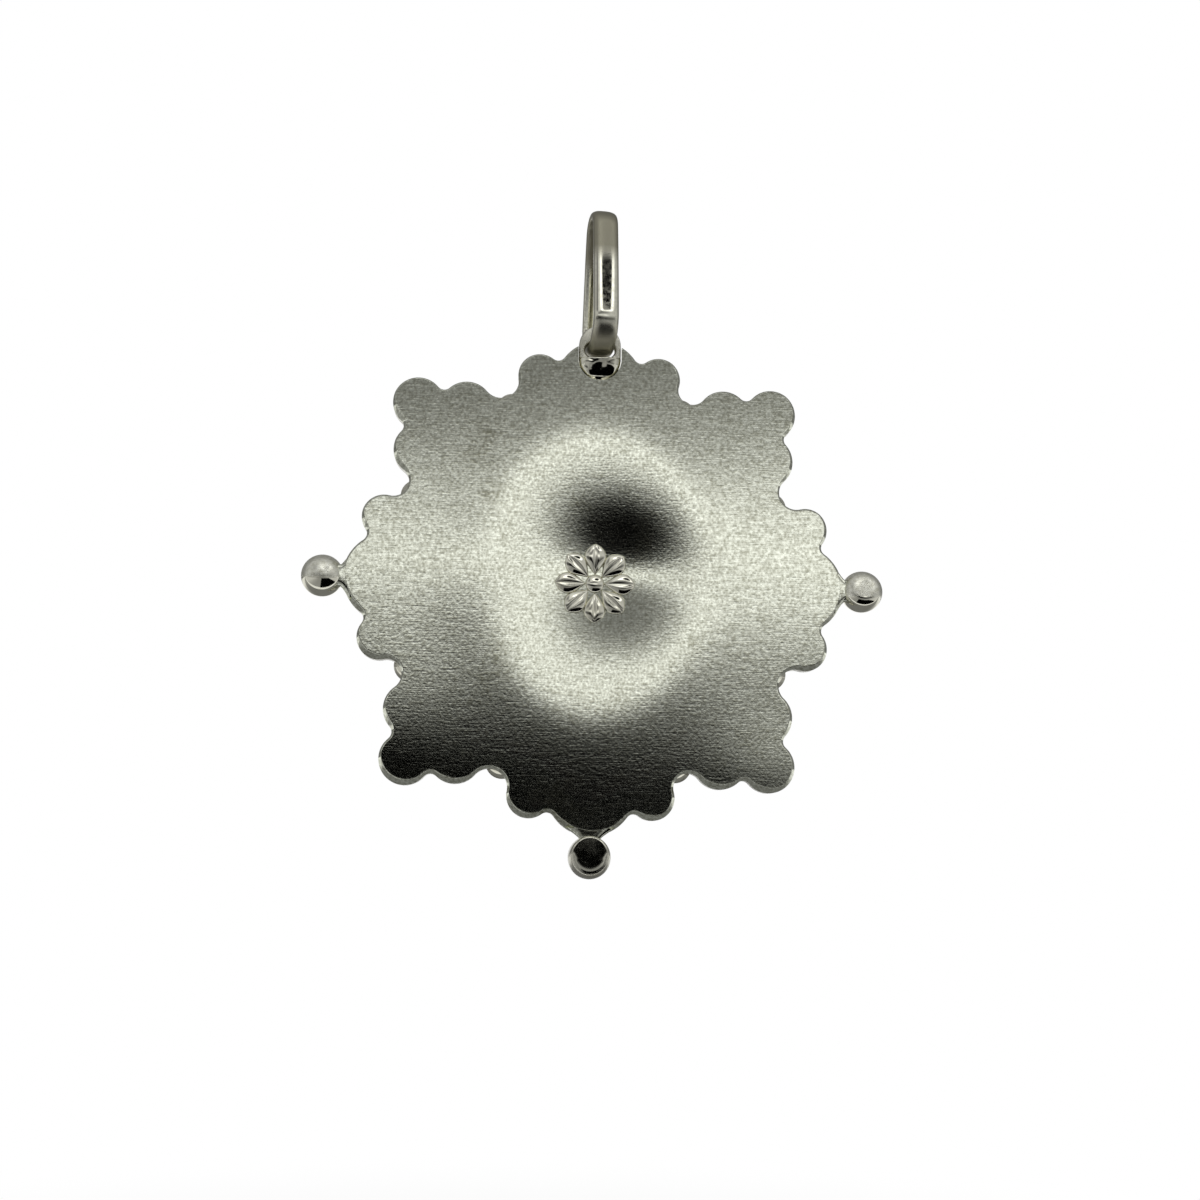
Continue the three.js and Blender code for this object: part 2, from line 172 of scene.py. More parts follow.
cloud_group, asked, given = group_of(
    "tarnish_cloud", "ShaderNodeTree",
    [("Vector", VECTOR, None), ("Size mm", FLOAT, 4.0), ("Cover", FLOAT, 0.5)],
    [("Mask", FLOAT, None)],
)
rate = maths(cloud_group, "DIVIDE", 1 / MM, asked["Size mm"])
cloud = node(cloud_group, "ShaderNodeTexNoise",
             {"Vector": asked["Vector"], "Scale": rate, "Detail": 4.0, "Roughness": 0.55})
low = maths(cloud_group, "SUBTRACT", CLOUD_LIMIT, maths(cloud_group, "MULTIPLY", asked["Cover"], COVER_DROP))
high = maths(cloud_group, "ADD", low, CLOUD_STEP)
cloud_group.links.new(remapped(cloud_group, cloud.outputs["Fac"], low, high), given["Mask"])
print(f"{cloud_group.name}: {len(cloud_group.nodes)} nodes")

# %% [markdown]
# ## Finishes
# The satin back, the polished beads and balls, the dull front, the ground spots of the balls, whose
# brushed upper parts carry a painted highlight, and the strap are the same metal. They differ in tone,
# roughness and grain, so one function makes them all from a few values. The strap's ends are painted
# darker by a mask by height, painted shade that leaves its middle stretch bright as a painted reflection.
# The metal's constant values stay on the shader itself, where an export finds them.

# %% Silver materials
CLOUD_SHARE = 0.7
# A painted reflection band, where a part is kept bright and painted darker beyond: half width of the border,
# how far clouds shift it, and how uneven the painted shade is
PAINTED_BAND_BORDER, PAINTED_BAND_WANDER, MOTTLE = 0.8, 0.3, 0.1


# Painted shade: this mask darkens a part beyond a band of heights, so that the band reads as a painted
# reflection
def painted_dark_ends(tree, spot, cloud, painted_highlight_mm):
    """A mask that is 0 between two heights over the sheet's middle and nearly 1 beyond them."""
    low, high = (CENTRE_Z + z * MM for z in painted_highlight_mm)
    border = PAINTED_BAND_BORDER * MM
    z = node(tree, "ShaderNodeSeparateXYZ", {0: spot}).outputs["Z"]
    z = maths(tree, "ADD", z, maths(tree, "MULTIPLY", cloud, PAINTED_BAND_WANDER * MM))
    ends = maths(tree, "MAXIMUM", remapped(tree, z, low + border, low - border),
                 remapped(tree, z, high - border, high + border))
    return maths(tree, "MULTIPLY", ends, maths(tree, "MULTIPLY_ADD", cloud, MOTTLE, 1 - MOTTLE))


def silver(name, bright, dull, rough, grain_mm, grain_depth_mm, cloud_mm, cover, speckle=0.3, painted_highlight_mm=None):
    """Metal with brushed grain and clouds of tarnish. rough is (in clean metal, in tarnish).

    grain_mm is the grain's (length, width), and speckle is how much of it shows as tone. cloud_mm and
    cover are the size of the clouds and how much of the metal they take.
    The last argument, if given, is the range of heights over the sheet's middle that is kept bright, with
    painted shade, darker and rougher, beyond it.
    """
    material = bpy.data.materials.new(name)
    material.use_nodes = True
    tree = material.node_tree
    spot = node(tree, "ShaderNodeTexCoord").outputs["Object"]
    length, width = grain_mm
    grain = node(tree, "ShaderNodeGroup", {"Vector": spot, "Length mm": length, "Width mm": width},
                 node_tree=grain_group).outputs
    cloud = node(tree, "ShaderNodeGroup", {"Vector": spot, "Size mm": cloud_mm, "Cover": cover},
                 node_tree=cloud_group).outputs["Mask"]
    tarnish_and_painted_shade = maths(tree, "ADD", maths(tree, "MULTIPLY", cloud, CLOUD_SHARE),
                 maths(tree, "MULTIPLY", grain["Mask"], speckle))
    # The ends beyond the band get painted shade, darker and rougher
    if painted_highlight_mm:
        tarnish_and_painted_shade = maths(tree, "MAXIMUM", tarnish_and_painted_shade, painted_dark_ends(tree, spot, cloud, painted_highlight_mm))
    bump = node(tree, "ShaderNodeBump",
                {"Height": grain["Height"], "Strength": 1.0, "Distance": grain_depth_mm * MM})
    set_inputs(tree.nodes["Principled BSDF"], {
        "Metallic": 1.0,
        "Base Color": mixed(tree, tarnish_and_painted_shade, (*bright, 1), (*dull, 1)),
        "Roughness": remapped(tree, tarnish_and_painted_shade, 0.0, 1.0, *rough),
        "Normal": bump.outputs[0],
    })
    return material


satin = silver("satin_silver", bright=(0.93, 0.955, 0.83), dull=(0.36, 0.36, 0.275), rough=(0.06, 0.10),
               grain_mm=(1.6, 0.07), grain_depth_mm=0.006, cloud_mm=5.0, cover=0.3, speckle=0.9)
polished = silver("polished_silver", bright=(0.80, 0.79, 0.68), dull=(0.62, 0.60, 0.48), rough=(0.05, 0.16),
                  grain_mm=(0.6, 0.12), grain_depth_mm=0.0004, cloud_mm=1.8, cover=0.45)
antique = silver("antique_silver", bright=(0.62, 0.61, 0.53), dull=(0.40, 0.385, 0.315), rough=(0.24, 0.36),
                 grain_mm=(0.16, 0.12), grain_depth_mm=0.006, cloud_mm=3.0, cover=0.5)
# Rougher grinding, with a brighter tone that paints a highlight on the upper side of the balls
brushed = silver("brushed_highlight_silver", bright=(0.97, 0.97, 0.87), dull=(0.62, 0.61, 0.50), rough=(0.27, 0.36),
                 grain_mm=(0.5, 0.09), grain_depth_mm=0.006, cloud_mm=1.2, cover=0.35, speckle=0.8)
# The strap's ends are painted darker, so that its middle stretch reads as a painted reflection
strap = silver("strap_silver", bright=(0.80, 0.79, 0.68), dull=(0.305, 0.288, 0.215), rough=(0.05, 0.45),
               grain_mm=(0.6, 0.12), grain_depth_mm=0.0012, cloud_mm=1.2, cover=0.35, painted_highlight_mm=(18.1, 23.3))
print("finishes:", [finish.name for finish in (satin, polished, antique, brushed, strap)])

# %% [markdown]
# ## The outline
# The sheet's edge is a chain of round lobes: three at each of the four points and three at each of
# the four corners. Between neighbouring lobes lies a small round notch, and between a point and a
# corner a wide one. Two circles and a third that touches both give all of it, so the edge is never
# drawn by hand. Each point of the edge also gets its outward direction, which the rim needs later.

# %% Lobes
APEX_OUT, APEX_R = 14.34, 3.06
POINT_R, POINT_LAP, POINT_RISE = 1.53, 0.36, math.radians(5.5)
CORNER_OUT, CORNER_R, CORNER_SIDE_R = 12.46, 1.77, 1.82
CORNER_LAP, CORNER_DROP = 0.19, math.radians(3.7)
SQUARE_SHIFT = 0.22
APEX_TIP = APEX_OUT + APEX_R
# A quarter has six lobes, counted from its apex as 0. Those of the corner, and those before a wide notch
QUARTER, CORNER_LOBES, WIDE_AFTER = 6, (2, 3, 4), (1, 4)


def quarter_of_lobes():
    """Middle and radius of the six lobes from the top point on, clockwise."""
    span = APEX_R + POINT_R - POINT_LAP
    beside = (span * math.cos(POINT_RISE), APEX_OUT + span * math.sin(POINT_RISE))
    reach = CORNER_R + CORNER_SIDE_R - CORNER_LAP
    side = (CORNER_OUT - reach * math.cos(CORNER_DROP), CORNER_OUT - reach * math.sin(CORNER_DROP))
    return [((0, APEX_OUT), APEX_R), (beside, POINT_R), (side, CORNER_SIDE_R),
            ((CORNER_OUT, CORNER_OUT), CORNER_R), (side[::-1], CORNER_SIDE_R), (beside[::-1], POINT_R)]


def all_lobes():
    """The lobes of four quarters, each a right angle further on. The square of the corners is shifted."""
    lobes = []
    for quarter in range(4):
        for i, ((x, z), radius) in enumerate(quarter_of_lobes()):
            for _ in range(quarter):
                x, z = z, -x
            lobes.append((np.array([x - (SQUARE_SHIFT if i in CORNER_LOBES else 0), z]), radius))
    return lobes


LOBES = all_lobes()
print(f"{len(LOBES)} lobes, points {APEX_TIP:.2f} mm out")

# %% Notches and edge
SMALL_NOTCH_R, NOTCH_FLOOR, EDGE_STEP = 0.55, 0.5, 0.16
HALVINGS, LEAST_COUNT = 50, 3


def notch_between(a, b, radius):
    """The round that touches two lobes, as (middle, radius, outward direction)."""
    step = b[0] - a[0]
    span = np.linalg.norm(step)
    step = step / span
    outward = np.array([-step[1], step[0]])
    reach_a, reach_b = a[1] + radius, b[1] + radius
    shift = (span**2 + reach_a**2 - reach_b**2) / (2 * span)
    return a[0] + step * shift + outward * math.sqrt(reach_a**2 - shift**2), radius, outward


def wide_notch(a, b):
    """The same, with its floor NOTCH_FLOOR inside the line of the lobes' middles. It is found by halving."""
    span = np.linalg.norm(b[0] - a[0])
    low, high = 0.0, span
    for _ in range(HALVINGS):
        radius = (low + high) / 2
        halves = [math.sqrt(r * r + 2 * radius * (r + NOTCH_FLOOR) - NOTCH_FLOOR**2) for r in (a[1], b[1])]
        low, high = (radius, high) if sum(halves) < span else (low, radius)
    return notch_between(a, b, low)


def outline(step):
    """Points of the edge about step apart, their outward directions, and 1 on lobes but 0 in notches."""
    points, outward, on_lobe = [], [], []
    for i, (middle, radius) in enumerate(LOBES):
        before, after = NOTCHES[i - 1], NOTCHES[i]
        following = LOBES[(i + 1) % len(LOBES)]
        arcs = ((middle, radius, before[0], after[0], 1), (after[0], after[1], middle, following[0], -1))
        for centre, r, start, end, side in arcs:
            begin = math.atan2(*(start - centre)[::-1])
            turn = (math.atan2(*(end - centre)[::-1]) - begin) % math.tau
            turn = turn - math.tau if side > 0 else turn
            count = max(LEAST_COUNT, math.ceil(abs(turn) * r / step))
            angles = begin + turn * np.arange(count) / count
            spokes = np.stack([np.cos(angles), np.sin(angles)], 1)
            points.append(centre + r * spokes)
            outward.append(side * spokes)
            on_lobe.append(np.full(count, max(0, side)))
    return np.concatenate(points), np.concatenate(outward), np.concatenate(on_lobe)


NOTCHES = []
for i, lobe in enumerate(LOBES):
    following = LOBES[(i + 1) % len(LOBES)]
    wide = i % QUARTER in WIDE_AFTER
    NOTCHES.append(wide_notch(lobe, following) if wide else notch_between(lobe, following, SMALL_NOTCH_R))
edge, edge_out, on_lobe = outline(EDGE_STEP)
print(f"edge: {len(edge)} points round {len(LOBES)} lobes")

# %% [markdown]
# ## The sheet
# The back is flat with a soft dip in the middle, where the light turns dark on the upper slope and
# bright on the lower one. A hand-finished sheet is never quite flat either: a few low swells let the
# reflection wander as it does on the real one. The front rises over the dip. A sculpted grid could
# give this, but a skin keeps the edge exact: rings grow from the middle of the back to the edge, roll
# over the rim, and shrink again on the front.

# %% Faces of the sheet
PLATE_T = 1.3
BACK, FRONT = -PLATE_T / 2, PLATE_T / 2
DISH_R, DISH_DEPTH = 9.4, 0.5
DISH_FLOOR_T, PLATEAU_R, DOME_WALL = 1.2, 6.0, 0.6
PLATEAU = BACK + DISH_DEPTH + DISH_FLOOR_T
# The dip: slope of its wall, how far its rim is from its middle, how soft the rim and the floor are, how
# much narrower it is than high, and how far its middle lies above that of the sheet
DIP_SLOPE, DIP_RIM, RIM_SOFT, FLOOR_SOFT, DIP_WIDTH, DIP_LIFT = 0.040, 10.3, 0.5, 2.0, 0.76, 0.7
# Low swells of the back: middle x and z, radius across and along, turn, height towards the viewer
SWELLS = [(1.8, 0.9, 4.4, 3.8, -0.2, -0.285), (-8.5, 0.8, 4.0, 4.0, 0.0, 0.04),
          (12.5, -14.5, 4.5, 4.5, 0.0, 0.11), (-13.5, -12.0, 5.0, 6.0, 0.0, 0.08)]


def bell(distance, radius):
    """1 in the middle and 0 from radius on, with a soft fall between."""
    return (1 + np.cos(np.pi * np.clip(distance / radius, 0, 1))) / 2


def back_y(x, z):
    """Height of the back face, less is nearer to the viewer."""
    from_middle = np.sqrt((x / DIP_WIDTH) ** 2 + (z - DIP_LIFT) ** 2 + FLOOR_SOFT**2)
    y = BACK + DIP_SLOPE * RIM_SOFT * np.logaddexp(0, (DIP_RIM - from_middle) / RIM_SOFT)
    for sx, sz, wide, high, turn, height in SWELLS:
        across = (x - sx) * math.cos(turn) + (z - sz) * math.sin(turn)
        along = (z - sz) * math.cos(turn) - (x - sx) * math.sin(turn)
        y = y - height * np.exp(-((across / wide) ** 2 + (along / high) ** 2))
    return y


def front_y(x, z):
    """Height of the front face, which is flat with a plateau over the dip."""
    foot = DISH_R + DOME_WALL
    return FRONT + (PLATEAU - FRONT) * bell(np.clip(np.hypot(x, z) - PLATEAU_R, 0, None), foot - PLATEAU_R)


middle = np.zeros(1)
back_tip, front_tip = back_y(middle, middle)[0], front_y(middle, middle)[0]
print(f"sheet: {PLATE_T} mm, {front_tip - back_tip:.2f} mm in the middle")

# %% Bevel of the rim
EDGE_ROUND, BEVEL_ROLL, BEVEL_LEAN, ROLL_STEPS = 0.4, 0.2, 50, 5
# The bevel's least width, the way from which the file took most, a second way with its share of that,
# the share in notches, and over how many points the change from lobe to notch is spread
BEVEL_LEAST, BEVEL_WAY = 0.12, (-0.35, -0.94)
SIDE_BEVEL_WAY, SIDE_BEVEL_SHARE = (0.8, -0.6), 0.55
NOTCH_BEVEL_SHARE, SOFT_POINTS = 0.3, 9


def bevel_steps():
    """Steps of a bevel of width 1, outwards and away from the viewer.

    It rolls over, runs straight and rolls again.
    """
    lean = np.radians(np.linspace(0, BEVEL_LEAN, ROLL_STEPS)[1:])
    over = np.stack([BEVEL_ROLL * np.sin(lean), BEVEL_ROLL * (1 - np.cos(lean))], 1)
    lean = np.radians(np.linspace(BEVEL_LEAN, 90, ROLL_STEPS))
    into = np.stack([1 - BEVEL_ROLL * (1 - np.sin(lean)), -BEVEL_ROLL * np.cos(lean)], 1)
    drop = (into[0, 0] - over[-1, 0]) * math.tan(math.radians(BEVEL_LEAN))
    into[:, 1] += over[-1, 1] + drop - into[0, 1]
    return np.concatenate([over, into])


def towards(way):
    """How squarely each point of the edge faces a way, from 0 to 1."""
    return np.clip(edge_out @ np.array(way), 0, 1)


def bevel_width():
    """Width of the bevel at each point of the edge: the file took most from the undersides of the lobes."""
    beyond = SOFT_POINTS // 2
    round_again = np.concatenate([on_lobe[-beyond:], on_lobe, on_lobe[:beyond]])
    lobe = np.convolve(round_again, np.ones(SOFT_POINTS) / SOFT_POINTS, "valid")
    facing = np.maximum(towards(BEVEL_WAY), SIDE_BEVEL_SHARE * towards(SIDE_BEVEL_WAY))
    taken = facing * (NOTCH_BEVEL_SHARE + (1 - NOTCH_BEVEL_SHARE) * lobe)
    return (BEVEL_LEAST + (EDGE_ROUND - BEVEL_LEAST) * taken)[:, None]


width = bevel_width()
print(f"bevel: {width.min():.2f} to {width.max():.2f} mm wide")

# %% [markdown]
# ## Skins over rings
# Nearly every piece is a skin over rings: a ring is a closed loop of points, and neighbouring rings
# are joined by four-sided faces. A lathe, a loft and a cushion-like relief are all rings with
# different shapes, so one helper makes them all. Modifiers could do some of this, but rings keep the
# points exactly where the solid has its surface.

# %% Mesh helpers
def placed(name, data):
    """An object of the scene that holds a mesh, a curve, a lamp or a camera."""
    thing = bpy.data.objects.new(name, data)
    scene.collection.objects.link(thing)
    return thing


def in_metres(points):
    """Places in the scene of points in millimetres about the middle of the medallion."""
    spots = np.asarray(points, float) * MM
    spots[:, 2] += CENTRE_Z
    return spots


def face_outwards(mesh, weld=0.0):
    """Turns all faces outwards, after points nearer than weld are melted into one."""
    work = bmesh.new()
    work.from_mesh(mesh)
    if weld:
        bmesh.ops.remove_doubles(work, verts=work.verts, dist=weld)
    bmesh.ops.recalc_face_normals(work, faces=work.faces)
    work.to_mesh(mesh)
    work.free()


def new_piece(name, points, faces, materials, face_slots=None):
    """A mesh from points in millimetres about the middle of the medallion."""
    mesh = bpy.data.meshes.new(name)
    mesh.from_pydata(in_metres(points).tolist(), [], faces)
    for material in materials:
        mesh.materials.append(material)
    if face_slots is not None:
        mesh.polygons.foreach_set("material_index", face_slots)
    face_outwards(mesh)
    mesh.shade_smooth()
    return placed(name, mesh)


# %% Rings and skins
def at_depth(flat, y):
    """A flat ring, drawn in X and Z, at one depth or with a depth for each point."""
    return np.stack([flat[:, 0], np.broadcast_to(y, len(flat)), flat[:, 1]], 1)


def skin(rings, first=None, last=None):
    """Points and faces of a skin over rings of equal count. first and last are the caps' points."""
    count, final = len(rings[0]), len(rings) - 1
    points = list(np.concatenate([np.asarray(ring, float) for ring in rings]))
    faces = []
    for k in range(final):
        here, there = k * count, (k + 1) * count
        for i in range(count):
            j = (i + 1) % count
            faces.append((here + i, here + j, there + j, there + i))
    for cap, start in ((first, 0), (last, final * count)):
        if cap is None:
            continue
        points.append(np.asarray(cap, float))
        tip = len(points) - 1
        faces += [(start + i, start + (i + 1) % count, tip) for i in range(count)]
    return points, faces


# %% Skin of the sheet
FRONT_ROUND, EDGE_GUARD = 0.15, 0.04
BACK_RINGS, FRONT_RINGS, FIRST_RING = 30, 18, 0.03
SHEET_FINISHES = [satin, polished, antique]
BACK_SLOT, SEAT_SLOT, FRONT_SLOT = range(3)


def sheet_rings():
    """Rings from the middle of the back to the middle of the front, with the slot of each band."""
    rings, slots = [], []

    def add(flat, y, slot):
        rings.append(at_depth(flat, y))
        slots.append(slot)

    inset = edge - (width + EDGE_GUARD) * edge_out
    for t in np.linspace(FIRST_RING, 1, BACK_RINGS):
        add(inset * t, back_y(*(inset * t).T), BACK_SLOT)
    inset = edge - width * edge_out
    add(inset, back_y(*inset.T), BACK_SLOT)
    lift = back_y(*inset.T) - BACK
    for aside, down in bevel_steps():
        flat = edge - (1 - aside) * width * edge_out
        add(flat, BACK + down * width[:, 0] + lift * (1 - aside), BACK_SLOT)
    for turn in np.radians(np.linspace(0, 90, ROLL_STEPS)):
        flat = edge - FRONT_ROUND * (1 - math.cos(turn)) * edge_out
        add(flat, FRONT - FRONT_ROUND * (1 - math.sin(turn)), FRONT_SLOT)
    inset = edge - FRONT_ROUND * edge_out
    for t in np.linspace(1, FIRST_RING, FRONT_RINGS)[1:]:
        add(inset * t, front_y(*(inset * t).T), FRONT_SLOT)
    return rings, slots


rings, bands = sheet_rings()
points, faces = skin(rings, (0, back_tip, 0), (0, front_tip, 0))
caps = [BACK_SLOT] * len(edge) + [FRONT_SLOT] * len(edge)
face_slots = np.repeat(bands[1:], len(edge)).tolist() + caps
sheet = new_piece("satin_sheet", points, faces, SHEET_FINISHES, face_slots)
print(f"{sheet.name}: {len(rings)} rings of {len(edge)} points")

# %% [markdown]
# ## The eye's seat
# The eye at the top is let into a round-bottomed notch. A Boolean cuts it, because the notch's straight
# sides would fold the rings of the skin. The cutter carries the same three materials, so its walls
# come out polished.

# %% Boolean helpers
CUT_SHARP = math.radians(38)


def plain_mesh(thing):
    """The mesh that an object shows, with its modifiers or its curve worked out."""
    graph = bpy.context.evaluated_depsgraph_get()
    graph.update()
    return bpy.data.meshes.new_from_object(thing.evaluated_get(graph))


def baked(piece):
    """The piece with its modifiers turned into a plain mesh."""
    mesh, old = plain_mesh(piece), piece.data
    piece.modifiers.clear()
    piece.data = mesh
    bpy.data.meshes.remove(old)
    return piece


def joined(piece, other, operation):
    """piece with other cut away or melted on, as one closed mesh."""
    step = piece.modifiers.new("join", "BOOLEAN")
    step.operation = operation
    step.solver = "EXACT"
    step.object = other
    baked(piece)
    bpy.data.objects.remove(other)
    piece.data.shade_smooth()
    piece.data.set_sharp_from_angle(angle=CUT_SHARP)
    return piece


def report(piece):
    """Prints the count of faces and the size of a piece, and hands it back."""
    size = np.ptp([list(corner) for corner in piece.bound_box], axis=0) / MM
    print(f"{piece.name}: {len(piece.data.polygons)} faces, " + " x ".join(f"{s:.2f}" for s in size) + " mm")
    return piece


# %% Cut the seat
EYE_DROP, EYE_T, EYE_WALL, EYE_HALF = 0.6, 0.8, 1.3, 1.485
SLOT_H, SLOT_W, FOOT_L, SEAT_GAP = 1.05, 2.13, 0.75, 0.05
EYE_OUT = APEX_TIP - EYE_DROP
EYE_ROUND_STEPS, CUT_REACH = 24, 2.0
eye_top = EYE_OUT + SLOT_H / 2 + EYE_WALL - EYE_HALF
eye_bottom = EYE_OUT - FOOT_L


def long_round(half):
    """The eye's loop in X and Z: two half circles and the straight sides between them."""
    up = np.linspace(0, np.pi, EYE_ROUND_STEPS)
    down = np.linspace(np.pi, math.tau, EYE_ROUND_STEPS)
    top = np.stack([half * np.cos(up), eye_top + half * np.sin(up)], 1)
    bottom = np.stack([half * np.cos(down), eye_bottom + half * np.sin(down)], 1)
    return np.concatenate([top, bottom])


loop = long_round(EYE_HALF + SEAT_GAP)
ends = [at_depth(loop, -CUT_REACH), at_depth(loop, CUT_REACH)]
points, faces = skin(ends, (0, -CUT_REACH, EYE_OUT), (0, CUT_REACH, EYE_OUT))
cutter = new_piece("seat_cutter", points, faces, SHEET_FINISHES, [SEAT_SLOT] * len(faces))
report(joined(sheet, cutter, "DIFFERENCE"))

# %% [markdown]
# ## Border of beads
# On the front a round bead sits on every lobe and behind every wide notch. That is one small dome at 32
# places in six sizes, which is what Geometry Nodes are for: the points carry their own
# radius, the tree puts a dome on each and scales it, and the result becomes one plain mesh.

# %% Tree helpers
SHAPE, THING, COUNT, FINISH = (f"NodeSocket{kind}" for kind in ("Geometry", "Object", "Int", "Material"))


def shape_tree(name, inputs):
    """An empty tree that makes a shape. All such trees also take a Geometry and a Finish."""
    inputs = [("Geometry", SHAPE, None), *inputs, ("Finish", FINISH, None)]
    return group_of(name, "GeometryNodeTree", inputs, [("Geometry", SHAPE, None)])


def end_tree(tree, shape, finish, given):
    """Ends a tree: its instances become one plain, smooth mesh with the finish on it."""
    real = node(tree, "GeometryNodeRealizeInstances", {"Geometry": shape})
    smooth = node(tree, "GeometryNodeSetShadeSmooth", {"Geometry": real.outputs[0]})
    dressed = node(tree, "GeometryNodeSetMaterial", {"Geometry": smooth.outputs[0], "Material": finish})
    tree.links.new(dressed.outputs[0], given["Geometry"])
    print(f"{tree.name}: {len(tree.nodes)} nodes")


def run_tree(piece, tree, **values):
    """Runs a tree on a piece. values are the tree's inputs, with _ for a space in a name."""
    step = piece.modifiers.new(tree.name, "NODES")
    step.node_group = tree
    wanted = {key.replace("_", " "): value for key, value in values.items()}
    for item in tree.interface.items_tree:
        if item.item_type == "SOCKET" and item.in_out == "INPUT" and item.name in wanted:
            step[item.identifier] = wanted[item.name]
    return baked(piece)


def template(name, points, faces):
    """A small shape in its own units that a tree puts in many places."""
    mesh = bpy.data.meshes.new(name)
    mesh.from_pydata(np.asarray(points, float).tolist(), [], faces)
    face_outwards(mesh)
    return placed(name, mesh)


# %% Bead tree
bead_tree, asked, given = shape_tree("bead_border", [("Bead", THING, None), ("Bead height", FLOAT, 0.001)])
bead_shape = node(bead_tree, "GeometryNodeObjectInfo", {"Object": asked["Bead"]})
own_radius = node(bead_tree, "GeometryNodeInputNamedAttribute", {"Name": "bead_radius"}, data_type="FLOAT")
own_size = node(bead_tree, "ShaderNodeCombineXYZ",
                {"X": own_radius.outputs[0], "Y": asked["Bead height"], "Z": own_radius.outputs[0]})
spread = node(bead_tree, "GeometryNodeInstanceOnPoints",
              {"Points": asked["Geometry"], "Instance": bead_shape.outputs["Geometry"],
               "Scale": own_size.outputs[0]})
end_tree(bead_tree, spread.outputs[0], asked["Finish"], given)

# %% Beads on the sheet
BEAD_H, BEAD_INSET, APEX_BEAD_INSET = 1.0, 0.2, 0.45
NOTCH_BEAD_R, NOTCH_BEAD_PROUD, NORTH_BEAD_R = 1.15, 0.45, 2.018
DOME_SIDES, DOME_RINGS, DOME_STOP, DOME_FULLNESS = 40, 9, 84, 0.9


def bead_places():
    """Middle and radius of each bead. The north one is smaller, because the eye needs room."""
    places = []
    for i, (middle, radius) in enumerate(LOBES):
        size = radius - (APEX_BEAD_INSET if i % QUARTER == 0 else BEAD_INSET)
        places.append((middle, NORTH_BEAD_R if i == 0 else size))
        if i % QUARTER in WIDE_AFTER:
            centre, r, outward = NOTCHES[i]
            places.append((centre + outward * (NOTCH_BEAD_PROUD - NOTCH_BEAD_R - r), NOTCH_BEAD_R))
    return places


def circle(count):
    """Cosines and sines of equal steps round a full turn."""
    turn = np.linspace(0, math.tau, count, endpoint=False)
    return np.cos(turn), np.sin(turn)


def dome_template():
    """A dome of radius 1 and height 1 along Y, on a flat foot. Its last ring is at DOME_STOP degrees."""
    unit = np.stack(circle(DOME_SIDES), 1)
    angles = np.radians(np.linspace(0, DOME_STOP, DOME_RINGS))
    rings = [at_depth(math.cos(angle) ** DOME_FULLNESS * unit, math.sin(angle)) for angle in angles]
    return skin(rings, (0, 0, 0), (0, 1, 0))


places = bead_places()
beads = new_piece("border_beads", [(at[0], FRONT, at[1]) for at, _ in places], [], [])
beads.data.attributes.new("bead_radius", "FLOAT", "POINT").data.foreach_set(
    "value", [radius * MM for _, radius in places])
dome = template("bead_dome", *dome_template())
run_tree(beads, bead_tree, Bead=dome, Bead_height=BEAD_H * MM, Finish=polished)
bpy.data.objects.remove(dome)
report(beads)

# %% [markdown]
# ## Ball finials
# Each ball was soldered to its point and then ground with the back, and each came out in its own way:
# the left one is still round, the right one has a soft flat that leans, and the lower one is flat
# with a dull ring round it. A sphere could be cut with a Boolean, but its edge would be too crisp. So
# the ball is made of rings about Y, and a power says how flat its near half is. The solder is a
# neck, flush with the sheet, melted on with a Boolean.

# %% Balls
BALL_R, BALL_GROUND, PEG_R, PEG_GAP = 1.46, 0.3, 0.5, 0.05
BALL_OUT = APEX_TIP + PEG_GAP + math.sqrt(BALL_R**2 - PEG_R**2)
BALL_SIDES, BALL_RINGS, FOOT_REACH, LEAN_FADE, FLAT_FROM = 72, 60, 0.2, 4, 0.985
BALL_FINISHES = [polished, satin, brushed, antique]
SHINY_SLOT, NECK_SLOT, BRUSHED_HIGHLIGHT_SLOT, DULL_SLOT = range(4)


def ground_ball(name, tilt, flatness, highlight_from, ring_slot, place):
    """A ball that is ground on the side of the viewer. The ground part leans up by tilt.

    A flatness of 2 leaves it round, and more makes a wider flat with a tighter edge. It has two values,
    for the foot and the head of the flat. Above the height in the fourth argument, as a share of the radius,
    the ground part is brushed: rougher, and painted brighter as a painted highlight. ring_slot is the finish
    beside the flat.
    """
    c, s = circle(BALL_SIDES)
    foot, head = flatness
    power = foot + (head - foot) * np.clip((s + FOOT_REACH) / (1 + FOOT_REACH), 0, 1) ** 2
    flat_y = BALL_GROUND - BALL_R
    rings = []
    for angle in np.linspace(0, math.pi, BALL_RINGS)[1:-1]:
        share = math.sin(angle)
        r = BALL_R * share
        y = np.full(BALL_SIDES, -BALL_R * math.cos(angle))
        if angle < math.pi / 2:
            y = flat_y * np.sqrt(1 - share**power) + math.tan(tilt) * r * s * (1 - share**LEAN_FADE)
        rings.append(np.stack([r * c, y, r * s], 1))
    points, faces = skin(rings, (0, flat_y, 0), (0, BALL_R, 0))
    points = np.asarray(points)
    middles = np.array([points[list(face)].mean(0) for face in faces])
    slots = np.where(middles[:, 1] < flat_y * FLAT_FROM, SHINY_SLOT, ring_slot)
    # The near half above the given height gets the brushed finish: rougher, and painted brighter as a painted
    # highlight
    slots[(middles[:, 1] < 0) & (middles[:, 2] > highlight_from * BALL_R)] = BRUSHED_HIGHLIGHT_SLOT
    return new_piece(name, points + place, faces, BALL_FINISHES, slots)


# %% Necks of the balls
NECK_R, NECK_ROOT_R, NECK_ROOT, NECK_IN_BALL = 0.76, 1.70, APEX_TIP - 0.55, 0.75
NECK_BACK, NECK_FRONT = BACK + 0.01, 0.55
NECK_SIDES, NECK_RINGS, NECK_SQUARE = 48, 14, 0.35
FLARE_END, FLARE_POWER = 0.56, 1.15


def squarer(values, power):
    """Cosines or sines of a circle, changed by a power below 1 into those of a squarer loop."""
    return np.sign(values) * np.abs(values) ** power


